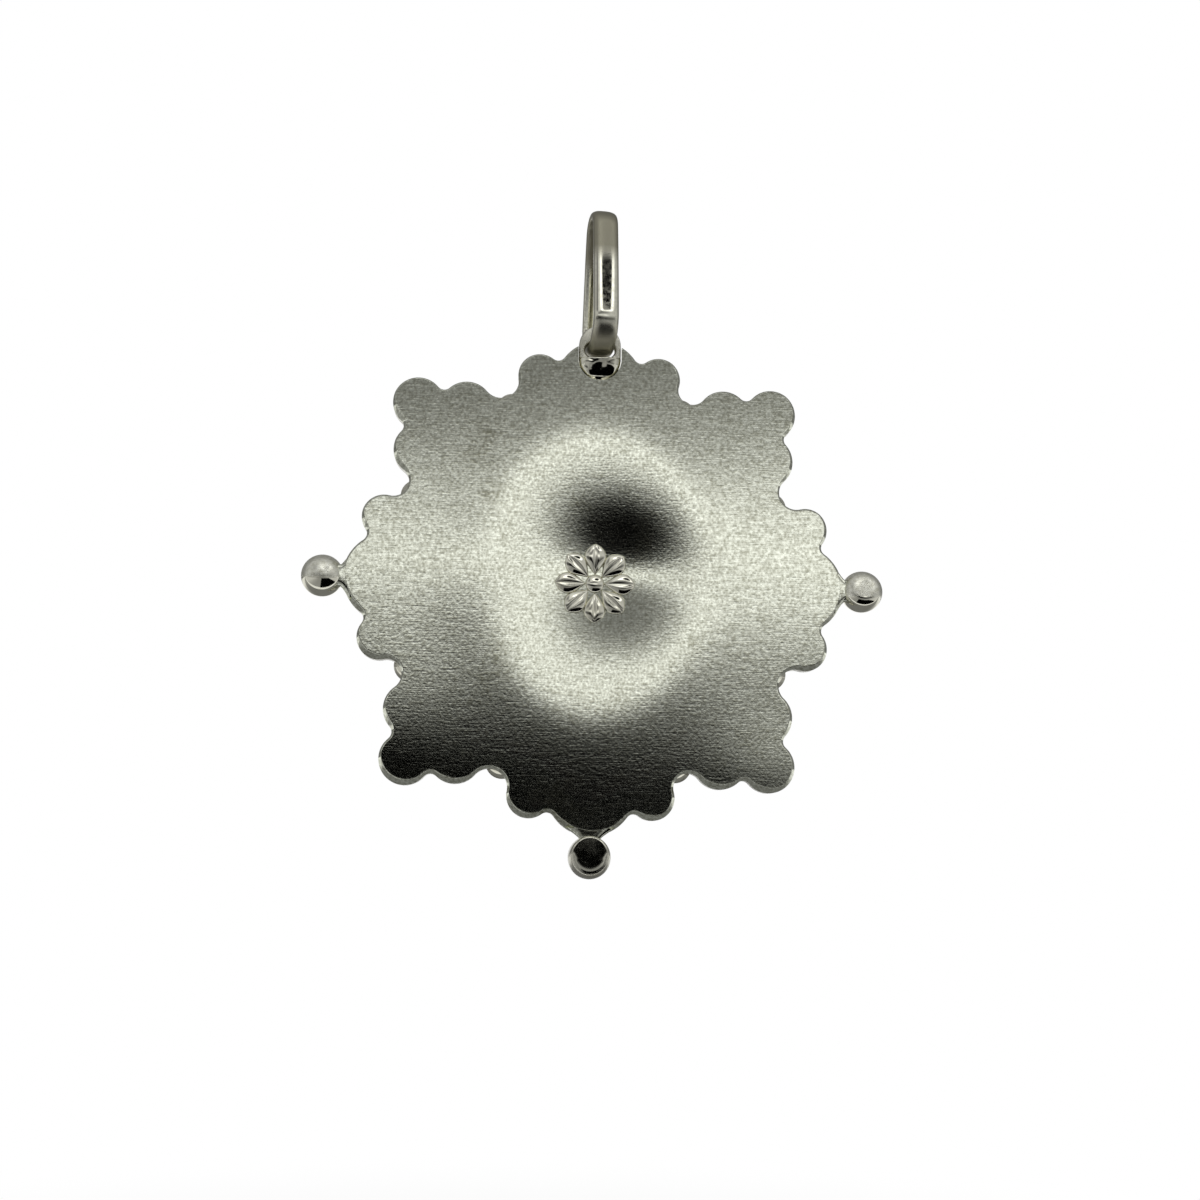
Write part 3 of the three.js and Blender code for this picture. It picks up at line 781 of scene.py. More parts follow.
def ball(name, turn, tilt, flatness, highlight_from, ring_slot=SHINY_SLOT):
    """A ball on its neck. turn is the way out from the middle of the sheet."""
    out = np.array([math.sin(turn), 0, math.cos(turn)])
    aside = np.array([math.cos(turn), 0, -math.sin(turn)])
    piece = ground_ball(name, tilt, flatness, highlight_from, ring_slot, out * BALL_OUT)
    c, s = (squarer(values, NECK_SQUARE) for values in circle(NECK_SIDES))
    depths = np.outer((NECK_FRONT + NECK_BACK) / 2 + (NECK_FRONT - NECK_BACK) / 2 * s, (0, 1, 0))
    rings = []
    for t in np.linspace(0, 1, NECK_RINGS):
        wide = NECK_R + (NECK_ROOT_R - NECK_R) * max(0.0, 1 - t / FLARE_END) ** FLARE_POWER
        along = NECK_ROOT + t * (BALL_OUT - NECK_IN_BALL - NECK_ROOT)
        across = np.outer(wide * c, aside) + depths
        rings.append(out * along + across)
    points, faces = skin(rings, rings[0].mean(0), rings[-1].mean(0))
    neck = new_piece("neck", points, faces, BALL_FINISHES, [NECK_SLOT] * len(faces))
    return report(joined(piece, neck, "UNION"))


# The fourth value is where each ball's painted highlight starts; 1.0 leaves the south ball without one
balls = {
    "east": ball("east_ball", math.pi / 2, math.radians(6.0), (3.5, 3.5), -0.33),
    "south": ball("south_ball", math.pi, math.radians(0.5), (9.0, 60.0), 1.0, DULL_SLOT),
    "west": ball("west_ball", -math.pi / 2, 0.0, (2.0, 2.0), -0.15),
}

# %% [markdown]
# ## The eye
# The eye is a round-ended tab with a slot for the strap. It could be a skin with a Boolean hole. A flat
# curve with a slot-shaped hole, given depth and a rolled edge, makes it in one go.

# %% Eye
TAB_ROLL, TAB_ROLL_STEPS, TAB_SHARP = 0.12, 3, math.radians(40)
SLOT_ROUND_STEPS, WELD = 12, 0.0001


def tab_curve(name, loops, depth, roll):
    """A flat curve in X and Z with holes, given depth along Y and rolled edges, as a mesh."""
    curve = bpy.data.curves.new(name, "CURVE")
    curve.dimensions = "2D"
    curve.fill_mode = "BOTH"
    curve.extrude = (depth / 2 - roll) * MM
    curve.bevel_depth = roll * MM
    curve.bevel_resolution = TAB_ROLL_STEPS
    curve.offset = -roll * MM
    for loop in loops:
        spline = curve.splines.new("POLY")
        spline.points.add(len(loop) - 1)
        for point, (x, z) in zip(spline.points, loop):
            point.co = (x * MM, z * MM, 0, 1)
        spline.use_cyclic_u = True
    holder = placed(name + "_curve", curve)
    mesh = plain_mesh(holder)
    bpy.data.objects.remove(holder)
    mesh.transform(Matrix.Translation((0, 0, CENTRE_Z)) @ Matrix.Rotation(math.pi / 2, 4, "X"))
    face_outwards(mesh, WELD * MM)
    mesh.materials.clear()
    mesh.materials.append(antique)
    mesh.shade_smooth()
    mesh.set_sharp_from_angle(angle=TAB_SHARP)
    return placed(name, mesh)


def slot_loop(steps):
    """The slot, with its straight sides along X."""
    half, r = (SLOT_W - SLOT_H) / 2, SLOT_H / 2
    right = np.linspace(-np.pi / 2, np.pi / 2, steps)
    x = np.concatenate([half + r * np.cos(right), -half - r * np.cos(right)])
    z = np.concatenate([r * np.sin(right), -r * np.sin(right)])
    return np.stack([x, EYE_OUT + z], 1)


eye = report(tab_curve("eye_tab", [long_round(EYE_HALF), slot_loop(SLOT_ROUND_STEPS)], EYE_T, TAB_ROLL))

# %% [markdown]
# ## Solder at the eye's foot
# The eye's foot is flooded with solder, which froze in lumps. It could be sculpted by hand. Here a
# grid is raised by a smooth noise with a fixed place, so that the lumps are always the same ones, and an
# underside closes it.

# %% Solder of the eye's foot
PAD_ACROSS, PAD_DOWN, PAD_GAP, PAD_POINT = 41, 36, 0.08, 0.02
# Heights of the pad: all over, of the crest near its head, and of the lumps
PAD_LEAST, PAD_CREST, PAD_LUMP = 0.12, 0.5, 0.15
# The crest starts with a share of its height, rises fast and falls off to the foot
CREST_START, CREST_RISE, CREST_FALL = 0.35, 9, 0.8
SIDE_FULLNESS, FOOT_RISE = 0.6, 5
# Wide lumps and finer ones: their share, rates along X and Z, and place in the noise
LUMPS = [(1.0, (0.8, 1.0), (3.1, 0.0, 0.7)), (0.4, (2.0, 1.9), (0.0, 5.0, 1.9))]


def lumps(x, z):
    """Height of the lumps at a place of the pad, about -1 to 1."""
    return sum(share * noise.noise(Vector((x * rate_x + at_x, z * rate_z + at_z, layer)))
               for share, (rate_x, rate_z), (at_x, at_z, layer) in LUMPS)


def pad_height(x, z, t, width):
    """Height over the eye at a share t of the way down. The pad runs out at its sides and its foot."""
    crest = (1 - t) ** CREST_FALL * min(1.0, t * CREST_RISE + CREST_START)
    swell = PAD_LEAST + PAD_CREST * crest + PAD_LUMP * lumps(x, z)
    side = max(0.0, 1 - (x / width) ** 4) if width > PAD_POINT else 0.0
    return max(0.0, swell) * side**SIDE_FULLNESS * min(1.0, (1 - t) * FOOT_RISE)


def solder(name, half, top, bottom):
    """A lumpy pad in the lower part of the seat, from z top down to its round end."""
    grid = []
    for t in np.linspace(0, 1, PAD_DOWN).tolist():
        z = top + (bottom - half - top) * t
        width = math.sqrt(max(half**2 - max(0.0, bottom - z) ** 2, PAD_POINT**2 / 4))
        for x in np.linspace(-1, 1, PAD_ACROSS) * width:
            grid.append((x, -EYE_T / 2 - pad_height(x, z, t, width), z))
    under = [(x, 0.0, z) for x, _, z in grid]
    count = len(grid)
    order = np.arange(count).reshape(PAD_DOWN, PAD_ACROSS)
    quads = np.stack([order[:-1, :-1], order[:-1, 1:], order[1:, 1:], order[1:, :-1]], -1).reshape(-1, 4)
    rim = np.concatenate([order[0], order[1:, -1], order[-1, -2::-1], order[-2:0:-1, 0]])
    after = np.roll(rim, -1)
    wall = np.stack([rim, after, count + after, count + rim], 1)
    faces = np.concatenate([quads, count + quads, wall]).tolist()
    return new_piece(name, grid + under, faces, [polished])


pad = report(solder("eye_solder", EYE_HALF, EYE_OUT - SLOT_H / 2 - PAD_GAP, eye_bottom))

# %% [markdown]
# ## The strap bail
# The bail is one strap bent into a closed loop: a belt round a large circle at the eye and a small one
# at the chain. A curve with a profile could make it, but would turn the profile at will. So it is a
# loft, with a section that is flat inside and crowned outside. The loop hangs a little turned against
# the sheet, as it was photographed.

# %% Middle line of the bail
STRAP_W, STRAP_T, STRAP_BOW, STRAP_STEP = 1.8, 0.75, 0.055, 0.12
BAIL_TOP_R, BAIL_REACH, BEND_MORE = 1.25, 6.72, 6
EYE_PLAY, TURN_GAP = 0.15, 0.25
BAIL_LOW_R = EYE_WALL + EYE_PLAY + TURN_GAP + STRAP_T / 2
SWING_Z = EYE_OUT + SLOT_H / 2 - EYE_PLAY - STRAP_T / 2 + BAIL_LOW_R


def way_at(angle):
    """The direction at an angle, in Y and Z."""
    return np.array([math.cos(angle), math.sin(angle)])


def bend(centre, radius, begin, end):
    """Places on a round stretch, each with its outward direction."""
    count = math.ceil(abs(end - begin) * radius / STRAP_STEP) + BEND_MORE
    ways = [way_at(angle) for angle in begin + (end - begin) * np.arange(count) / count]
    return [(centre + radius * way, way) for way in ways]


def bowed_run(angle, start, end):
    """Places on a straight stretch that bows out by STRAP_BOW in its middle."""
    way, span = way_at(angle), np.linalg.norm(end - start)
    count = math.ceil(span / STRAP_STEP)
    stretch = []
    for t in np.arange(count) / count:
        spot = start + (end - start) * t + way * 4 * STRAP_BOW * t * (1 - t)
        outward = way - (end - start) / span * 4 * STRAP_BOW * (1 - 2 * t) / span
        stretch.append((spot, outward / np.linalg.norm(outward)))
    return stretch


def belt():
    """Middle line of the strap in Y and Z, with its outward directions."""
    lean = math.asin((BAIL_TOP_R - BAIL_LOW_R) / BAIL_REACH)
    low, high = np.array([0, SWING_Z]), np.array([0, SWING_Z + BAIL_REACH])
    far, near = -lean, math.pi + lean
    far_low, near_low = (low + BAIL_LOW_R * way_at(angle) for angle in (far, near))
    far_high, near_high = (high + BAIL_TOP_R * way_at(angle) for angle in (far, near))
    return [*bend(low, BAIL_LOW_R, -math.pi + lean, far), *bowed_run(far, far_low, far_high),
            *bend(high, BAIL_TOP_R, far, near), *bowed_run(near, near_high, near_low)]


line = belt()
print(f"bail: {len(line)} places along the strap")

# %% Bail
BAIL_TURN = math.radians(8)
STRAP_SIDES, SIDE_SQUARE, CROWN_SQUARE, FLAT_SQUARE = 40, 0.7, 0.9, 0.35


def strap_bail():
    """The strap, lofted along its line and closed on itself."""
    c, s = circle(STRAP_SIDES)
    across = STRAP_W / 2 * squarer(c, SIDE_SQUARE)
    out = STRAP_T / 2 * squarer(s, np.where(s > 0, CROWN_SQUARE, FLAT_SQUARE))
    rings = [np.stack([across, spot[0] + way[0] * out, spot[1] + way[1] * out], 1) for spot, way in line]
    points, faces = skin(rings)
    last = (len(rings) - 1) * STRAP_SIDES
    for i in range(STRAP_SIDES):
        j = (i + 1) % STRAP_SIDES
        faces.append((last + i, last + j, j, i))
    turned = np.asarray(points) @ np.array(Matrix.Rotation(BAIL_TURN, 3, "Z")).T
    return new_piece("strap_bail", turned, faces, [strap])


bail = report(strap_bail())

# %% [markdown]
# ## Heart and flame on the front
# The front carries the heart that gives the medallion its name, in plain traditional form, and a flame
# over it. Both are low cushions. A rounded extrusion would keep a flat top, so rings shrink from the
# outline to a middle point instead, while they rise.

# %% Outlines of heart and flame
HEART_W, HEART_H = 7.2, 6.6
FLAME_W, FLAME_H, FLAME_GAP = 3.4, 3.2, 0.4
CLEFT, HEART_FOOT = 0.3 * HEART_H, -0.5 * HEART_H
FLAME_FOOT = CLEFT + FLAME_GAP
HEART_Z = -(HEART_FOOT + FLAME_FOOT + FLAME_H) / 2
HEART_STEPS, FLAME_STEPS = 26, 14


def bezier(controls, count):
    """Points of a Bezier curve of any degree, without its end."""
    t = np.arange(count)[:, None] / count
    level = [np.asarray(c, float) + 0 * t for c in controls]
    while len(level) > 1:
        level = [a * (1 - t) + b * t for a, b in zip(level, level[1:])]
    return level[0]


def mirrored(right):
    """A loop from its right half, which starts and ends on the middle line."""
    left = right[1:][::-1] * np.array([-1, 1])
    return np.concatenate([right, left])


def heart_loop():
    """The heart's outline. Its control points are shares of the half width and the height."""
    half = HEART_W / 2
    side, foot = (half, 0.18 * HEART_H), (0, HEART_FOOT)
    upper = bezier([(0, CLEFT), (0.35 * half, 0.55 * HEART_H), (half, 0.5 * HEART_H), side], HEART_STEPS)
    lower = bezier([side, (half, -0.12 * HEART_H), (0.4 * half, -0.28 * HEART_H), foot], HEART_STEPS)
    return mirrored(np.concatenate([upper, lower, [foot]]))


def flame_loop():
    """The flame's outline of three arcs a side, with control points as shares of its size."""
    corners = [(0, 1), (0.4, 0.75), (0.42, 0.5), (0.75, 0.45), (1, 0.66), (0.95, 0.18), (0, 0)]
    spots = [np.array([x * FLAME_W / 2, FLAME_FOOT + z * FLAME_H]) for x, z in corners]
    arcs = [bezier(spots[i:i + 3], FLAME_STEPS) for i in (0, 2, 4)]
    return mirrored(np.concatenate([*arcs, [spots[-1]]]))


print(f"heart: {len(heart_loop())} points, flame: {len(flame_loop())} points")

# %% Heart and flame
HEART_T, HEART_WALL, HEART_MIDDLE = 1.2, 0.3, (0, 0.05 * HEART_H)
FLAME_T, FLAME_WALL, FLAME_MIDDLE = 0.8, 0.35, (0, FLAME_FOOT + 0.3 * FLAME_H)
RELIEF_SUNK, CUSHION_POWER = 0.1, 2.4
CUSHION_SHARES = [1, 0.995, 0.98, 0.95, 0.9, 0.82, 0.72, 0.6, 0.46, 0.3, 0.15]


def cushion_height(t, height, wall):
    """Height over the ground at a share t of the way to the outline. wall is the share that is upright."""
    return wall * height + (1 - wall) * height * np.sqrt(np.clip(1 - t**CUSHION_POWER, 0, 1))


def cushion(name, loop, middle, height, wall):
    """A relief on the plateau of the front."""
    loop, middle = loop + (0, HEART_Z), np.array(middle) + (0, HEART_Z)
    rings = [at_depth(loop, PLATEAU - RELIEF_SUNK)]
    for t in CUSHION_SHARES:
        rings.append(at_depth(middle + (loop - middle) * t, PLATEAU + cushion_height(t, height, wall)))
    x, z = middle
    points, faces = skin(rings, (x, PLATEAU - RELIEF_SUNK, z), (x, PLATEAU + height, z))
    return report(new_piece(name, points, faces, [polished]))


heart = cushion("heart_relief", heart_loop(), HEART_MIDDLE, HEART_T, HEART_WALL)
flame = cushion("flame_relief", flame_loop(), FLAME_MIDDLE, FLAME_T, FLAME_WALL)

# %% [markdown]
# ## The wreath of thorns
# The wreath lies on the heart in an arc of two twisted strands. Bent by hand, each thorn would be a
# piece of its own. A tree twists both strands along the arc and sets a thorn at even steps, so turns
# and thorns are numbers that can be changed. The flat result is then laid on the heart's face.

# %% Strands of the wreath tree
wreath_tree, asked, given = shape_tree("thorn_wreath", [
    ("Arc radius", FLOAT, 0.004), ("Strand radius", FLOAT, 0.0002), ("Strand offset", FLOAT, 0.0002),
    ("Turns", FLOAT, 5.0), ("Thorns", COUNT, 11), ("Thorn length", FLOAT, 0.0006)])
path = node(wreath_tree, "GeometryNodeCurveArc",
            {"Resolution": 140, "Radius": asked["Arc radius"], "Start Angle": -0.75 * math.pi,
             "Sweep Angle": 0.5 * math.pi})
profile = node(wreath_tree, "GeometryNodeCurvePrimitiveCircle",
               {"Resolution": 10, "Radius": asked["Strand radius"]})
share = node(wreath_tree, "GeometryNodeSplineParameter").outputs["Factor"]
where = node(wreath_tree, "GeometryNodeInputPosition").outputs[0]
radial = vector_maths(wreath_tree, "NORMALIZE", where)
joint = node(wreath_tree, "GeometryNodeJoinGeometry")
for phase in (0.0, math.pi):
    angle = maths(wreath_tree, "MULTIPLY", maths(wreath_tree, "MULTIPLY", share, asked["Turns"]), math.tau)
    angle = maths(wreath_tree, "ADD", angle, phase)
    swing = maths(wreath_tree, "MULTIPLY", maths(wreath_tree, "COSINE", angle), asked["Strand offset"])
    rise = maths(wreath_tree, "MULTIPLY", maths(wreath_tree, "SINE", angle), asked["Strand offset"])
    upward = node(wreath_tree, "ShaderNodeCombineXYZ", {"Z": rise}).outputs[0]
    offset = vector_maths(wreath_tree, "ADD", vector_maths(wreath_tree, "SCALE", radial, Scale=swing), upward)
    strand = node(wreath_tree, "GeometryNodeSetPosition",
                  {"Geometry": path.outputs["Curve"], "Offset": offset})
    tube = node(wreath_tree, "GeometryNodeCurveToMesh",
                {"Curve": strand.outputs[0], "Profile Curve": profile.outputs["Curve"], "Fill Caps": True})
    wreath_tree.links.new(tube.outputs[0], joint.inputs[0])
print(f"{wreath_tree.name}: two strands")

# %% Thorns of the wreath tree
steps = node(wreath_tree, "GeometryNodeResampleCurve",
             {"Curve": path.outputs["Curve"], "Count": asked["Thorns"]})
thorn = node(wreath_tree, "GeometryNodeMeshCone",
             {"Vertices": 9, "Side Segments": 4, "Radius Top": 0.01 * MM,
              "Radius Bottom": asked["Strand radius"], "Depth": asked["Thorn length"]})
tangent = node(wreath_tree, "GeometryNodeInputTangent").outputs[0]
odd = maths(wreath_tree, "MODULO", node(wreath_tree, "GeometryNodeInputIndex").outputs[0], 2.0)
side = maths(wreath_tree, "SUBTRACT", maths(wreath_tree, "MULTIPLY", odd, 2.0), 1.0)
slant = vector_maths(wreath_tree, "ADD", vector_maths(wreath_tree, "SCALE", radial, Scale=side), tangent)
aim = node(wreath_tree, "FunctionNodeAlignRotationToVector", {"Vector": slant}, axis="Z")
thorns = node(wreath_tree, "GeometryNodeInstanceOnPoints",
              {"Points": steps.outputs[0], "Instance": thorn.outputs["Mesh"], "Rotation": aim.outputs[0]})
wreath_tree.links.new(thorns.outputs[0], joint.inputs[0])
end_tree(wreath_tree, joint.outputs[0], asked["Finish"], given)

# %% Wreath on the heart
WREATH_REACH, STRAND_R, STRAND_OFF, THORN_L = HEART_W / 2 - 0.8, 0.17, 0.17, 0.5
NEAR_OUTLINE = 0.97


def share_to_outline(loop, middle, spots):
    """How far spots lie from the middle, as a share of the way to the outline."""
    way, rim = spots - middle, loop - middle
    rim_angles = np.arctan2(rim[:, 1], rim[:, 0]) % math.tau
    order = np.argsort(rim_angles)
    reach = np.interp(np.arctan2(way[:, 1], way[:, 0]) % math.tau, rim_angles[order],
                      np.hypot(*rim[order].T), period=math.tau)
    return np.hypot(*way.T) / reach


def on_heart(x, z, lift):
    """Place on the face of the heart of a point of the flat wreath."""
    z = z + WREATH_REACH
    share = share_to_outline(heart_loop(), np.array(HEART_MIDDLE), np.stack([x, z], 1))
    face = PLATEAU + cushion_height(np.clip(share, 0, NEAR_OUTLINE), HEART_T, HEART_WALL)
    return x, face + lift, z + HEART_Z


def laid(piece, place):
    """A relief that was drawn flat, in X and Y with its height along Z, moved to where place says."""
    flat = np.empty(len(piece.data.vertices) * 3)
    piece.data.vertices.foreach_get("co", flat)
    spots = np.stack(place(*flat.reshape(-1, 3).T / MM), 1)
    piece.data.vertices.foreach_set("co", in_metres(spots).ravel())
    face_outwards(piece.data)
    return piece


wreath = new_piece("thorn_wreath", [(0, 0, 0)], [], [])
run_tree(wreath, wreath_tree, Arc_radius=math.hypot(WREATH_REACH, WREATH_REACH) * MM,
         Strand_radius=STRAND_R * MM, Strand_offset=STRAND_OFF * MM, Thorn_length=THORN_L * MM,
         Finish=polished)
report(laid(wreath, on_heart))

# %% [markdown]
# ## The rosette in the dip
# The middle of the back bears a small ornament: a plain rosette of eight petals round a boss. The
# petals are one shape turned by equal steps, so a tree makes them from a count. The flat result is then
# laid on the dip, so each petal follows the curve under it.

# %% Rosette tree
BOSS_SQUASH = (1.0, 1.0, 0.42)

rosette_tree, asked, given = shape_tree("rosette", [
    ("Petal", THING, None), ("Count", COUNT, 8), ("Boss radius", FLOAT, 0.0006)])
petal_shape = node(rosette_tree, "GeometryNodeObjectInfo", {"Object": asked["Petal"]})
spots = node(rosette_tree, "GeometryNodePoints", {"Count": asked["Count"]})
step = maths(rosette_tree, "DIVIDE", math.tau, asked["Count"])
turn = maths(rosette_tree, "MULTIPLY", node(rosette_tree, "GeometryNodeInputIndex").outputs[0], step)
way = node(rosette_tree, "ShaderNodeCombineXYZ", {"Z": turn})
petals = node(rosette_tree, "GeometryNodeInstanceOnPoints",
              {"Points": spots.outputs[0], "Instance": petal_shape.outputs["Geometry"],
               "Rotation": way.outputs[0]})
boss = node(rosette_tree, "GeometryNodeMeshUVSphere",
            {"Segments": 32, "Rings": 16, "Radius": asked["Boss radius"]})
low_boss = node(rosette_tree, "GeometryNodeTransform",
                {"Geometry": boss.outputs["Mesh"], "Scale": BOSS_SQUASH})
joint = node(rosette_tree, "GeometryNodeJoinGeometry")
for part in (petals, low_boss):
    rosette_tree.links.new(part.outputs[0], joint.inputs[0])
end_tree(rosette_tree, joint.outputs[0], asked["Finish"], given)

# %% Rosette
PETAL_L, PETAL_W, PETAL_H, PETAL_SUNK = 2.2, 1.55, 0.26, 0.12
PETAL_FROM, BOSS_R = 0.62, 0.66
VEIN_DEPTH, VEIN_WIDTH = 0.09, 0.16
PETAL_POINTS, PETAL_RINGS, PETAL_ENDS = 17, 20, (0.02, 0.99)
# Powers of the petal's form: how far out it is widest, and how full its outline, ridge and crown are
OUTWARDS, OUTLINE_FULLNESS, RIDGE_FULLNESS, CROWN_FULLNESS = 1.35, 0.75, 0.5, 0.6


def petal_template():
    """A petal along X with a vein, closed by a flat underside. Its units are metres."""
    rings = []
    over = np.linspace(-1, 1, PETAL_POINTS)
    for u in np.linspace(*PETAL_ENDS, PETAL_RINGS):
        half = PETAL_W / 2 * math.sin(math.pi * u**OUTWARDS) ** OUTLINE_FULLNESS
        ridge = PETAL_H * math.sin(math.pi * u) ** RIDGE_FULLNESS
        vein = VEIN_DEPTH * np.exp(-((over / VEIN_WIDTH) ** 2)) * math.sin(math.pi * u)
        top = ridge * (1 - over**2) ** CROWN_FULLNESS - vein
        x = PETAL_FROM + u * PETAL_L
        loop = [(x, v * half, h) for v, h in zip(over, top)]
        loop += [(x, v * half, -PETAL_SUNK) for v in over[::-1]]
        rings.append(np.array(loop) * MM)
    return skin(rings, rings[0].mean(0), rings[-1].mean(0))


def in_dip(x, z, lift):
    """Place on the back of the sheet of a point of the flat rosette, which then faces the viewer."""
    return x, back_y(x, z) - lift, z


petal = template("petal", *petal_template())
rosette = new_piece("dip_rosette", [(0, 0, 0)], [], [])
run_tree(rosette, rosette_tree, Petal=petal, Boss_radius=BOSS_R * MM, Finish=polished)
bpy.data.objects.remove(petal)
report(laid(rosette, in_dip))

# %% [markdown]
# ## Riding on the bodies
# Everything on the sheet swings with the medallion. Only the strap belongs to the bail, which the chain
# holds. Each row also lists the solids a piece stands for and a finish of the record.

# %% Ride and replace
RIDES = [
    (sheet, "medallion", "satin_silver", ["back_plate"]),
    (beads, "medallion", "polished_silver", sorted(n for n in frame["nodes"] if n.endswith("_bead"))),
    (eye, "medallion", "polished_silver", ["top_eye"]),
    (pad, "medallion", "polished_silver", []),
    (heart, "medallion", "polished_silver", ["sacred_heart"]),
    (flame, "medallion", "polished_silver", ["heart_flame"]),
    (wreath, "medallion", "polished_silver", ["thorn_band"]),
    (rosette, "medallion", "polished_silver", []),
    (bail, "bail_body", "polished_silver", ["bail"]),
]
RIDES += [(piece, "medallion", "polished_silver", [f"{side}_ball_finial"]) for side, piece in balls.items()]
for piece, body, slot, nodes in RIDES:
    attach(piece, body)
    if nodes:
        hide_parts(*nodes)
print(f"{len(RIDES)} pieces ride, {sum(len(ride[3]) for ride in RIDES)} solids replaced")

# %% [markdown]
# ## The surroundings
# Polished metal shows its surroundings, so the studio is the picture. Behind the pendant everything is
# white. In front, seen from the pendant, it is dark up to a little above the horizon, as the camera
# and the hands that hold it are, then comes a bright band of window, and grey above. That dark
# lower half turns the foot of the satin back black. A bright oval with a dark middle hangs higher up,
# for the faces that lean back. Lamps and cards could make all this, but the world can do it from the
# direction alone, with ramps. The camera sees the same world as plain white.

# %% World helpers
WHITE = (1, 1, 1, 1)


def ramp(tree, value, stops):
    """Greys over a value. stops are (place, tone), with places from 0 to 1."""
    made = node(tree, "ShaderNodeValToRGB", {"Fac": value})
    made.color_ramp.interpolation = "EASE"
    elements = made.color_ramp.elements
    while len(elements) < len(stops):
        elements.new(0.5)
    for element, (place, tone) in zip(elements, stops):
        element.position = place
        element.color = (tone, tone, tone, 1)
    return made.outputs["Color"]


def half(component):
    """A direction's component, from -1 to 1, as a place on a ramp."""
    return (component + 1) / 2


def by_height(tree, height, stops):
    """The same ramp with its stops at degrees over the horizon."""
    return ramp(tree, height, [(half(math.sin(math.radians(angle))), tone) for angle, tone in stops])


def oval(tree, offset, half_size, stops):
    """A ramp over the distance from an oval's middle, with the oval's edge at a half."""
    scale = (0.5 / half_size[0], 0, 0.5 / half_size[1])
    return ramp(tree, vector_maths(tree, "LENGTH", vector_maths(tree, "MULTIPLY", offset, scale)), stops)


# %% World
# Tones by height straight ahead of the back, at its flanks, and beside the pendant
AHEAD = [(-90, 0.0), (4.2, 0.0), (7.5, 0.33), (9.5, 1.15), (11.0, 1.25), (12.5, 0.72), (14.5, 0.34),
         (18.0, 0.18), (23.0, 0.3), (31.0, 0.8), (90, 0.8)]
FLANK = [(-12.0, 0.02), (4.0, 0.12), (12.0, 0.6), (24.0, 0.5), (33.0, 0.2), (60.0, 0.2)]
BESIDE = [(-90, 0.2), (-5, 0.19), (25, 0.24), (90, 0.28)]
SIDE_LIGHT = (0.6, 0.6, 0.6, 1)
# The band gets wider to the right and narrower to the left of its middle, within limits
BAND_MIDDLE, BAND_FLARE, FLARE_LEAST, FLARE_MOST = math.sin(math.radians(10.4)), 1.8, 0.75, 1.45
PANE_WAY, PANE_HALF, DARK_HALF = (0.277, 0.0, 0.578), (0.38, 0.165), (0.19, 0.118)

studio = bpy.data.worlds.new("studio")
scene.world = studio
studio.use_nodes = True
tree = studio.node_tree
outlook = node(tree, "ShaderNodeTexCoord").outputs["Generated"]
way = node(tree, "ShaderNodeSeparateXYZ", {0: outlook}).outputs
flare = maths(tree, "MULTIPLY_ADD", way["X"], BAND_FLARE, 1.0)
flare = maths(tree, "MINIMUM", maths(tree, "MAXIMUM", flare, FLARE_LEAST), FLARE_MOST)
lifted = maths(tree, "DIVIDE", maths(tree, "SUBTRACT", way["Z"], BAND_MIDDLE), flare)
height = maths(tree, "MULTIPLY_ADD", lifted, 0.5, half(BAND_MIDDLE))
depth = maths(tree, "MULTIPLY_ADD", way["Y"], 0.5, 0.5)
aside = maths(tree, "ABSOLUTE", way["X"])
ahead, flank, beside = (by_height(tree, height, stops) for stops in (AHEAD, FLANK, BESIDE))
is_flank = ramp(tree, aside, [(0.25, 0.0), (0.42, 1.0)])
is_front = ramp(tree, depth, [(half(-0.75), 1.0), (half(-0.35), 0.0)])
is_back = ramp(tree, depth, [(half(0.86), 0.0), (half(0.96), 1.0)])
side_share = ramp(tree, depth, [(half(-0.5), 0.9), (half(-0.15), 0.5), (half(0.1), 0.0)])
beside = mixed(tree, side_share, beside, SIDE_LIGHT)
surround = mixed(tree, is_front, beside, mixed(tree, is_flank, ahead, flank))
surround = mixed(tree, is_back, surround, WHITE)
from_pane = vector_maths(tree, "SUBTRACT", outlook, PANE_WAY)
is_pane = oval(tree, from_pane, PANE_HALF, [(0.46, 1.0), (0.56, 0.0)])
pane = oval(tree, from_pane, DARK_HALF, [(0.44, 0.0), (0.56, 1.8)])
surround = mixed(tree, maths(tree, "MULTIPLY", is_pane, is_front), surround, pane)
seen = node(tree, "ShaderNodeLightPath").outputs["Is Camera Ray"]
set_inputs(tree.nodes["Background"], {"Color": mixed(tree, seen, surround, WHITE)})
print(f"{studio.name}: {len(tree.nodes)} nodes")

# %% [markdown]
# ## Floor, cards and lamp
# The pendant hangs over a white floor that melts into the background. The rolled rim mirrors this
# floor, each strip of the rim another strip of it, so a photographer lays cards there to shape the
# reflections. Lamps would also light the floor. So the cards are level sheets that glow, a little
# over the floor, and only reflections show them.

# %% Floor
FLOOR_Z, FLOOR_REACH = -0.105, 2.5
FADE_FROM, FADE_TO, FADE_LEAST = 0.12, 0.24, 0.72


def level_sheet(name, left, right, y_from, y_to, z):
    """A level sheet of the studio and the tree of its material, which has no shader yet."""
    mesh = bpy.data.meshes.new(name)
    corners = [(left, y_from, z), (right, y_from, z), (right, y_to, z), (left, y_to, z)]
    mesh.from_pydata(corners, [], [(0, 1, 2, 3)])
    paint = bpy.data.materials.new(name)
    paint.use_nodes = True
    paint.node_tree.nodes.remove(paint.node_tree.nodes["Principled BSDF"])
    mesh.materials.append(paint)
    return placed(name, mesh), paint.node_tree


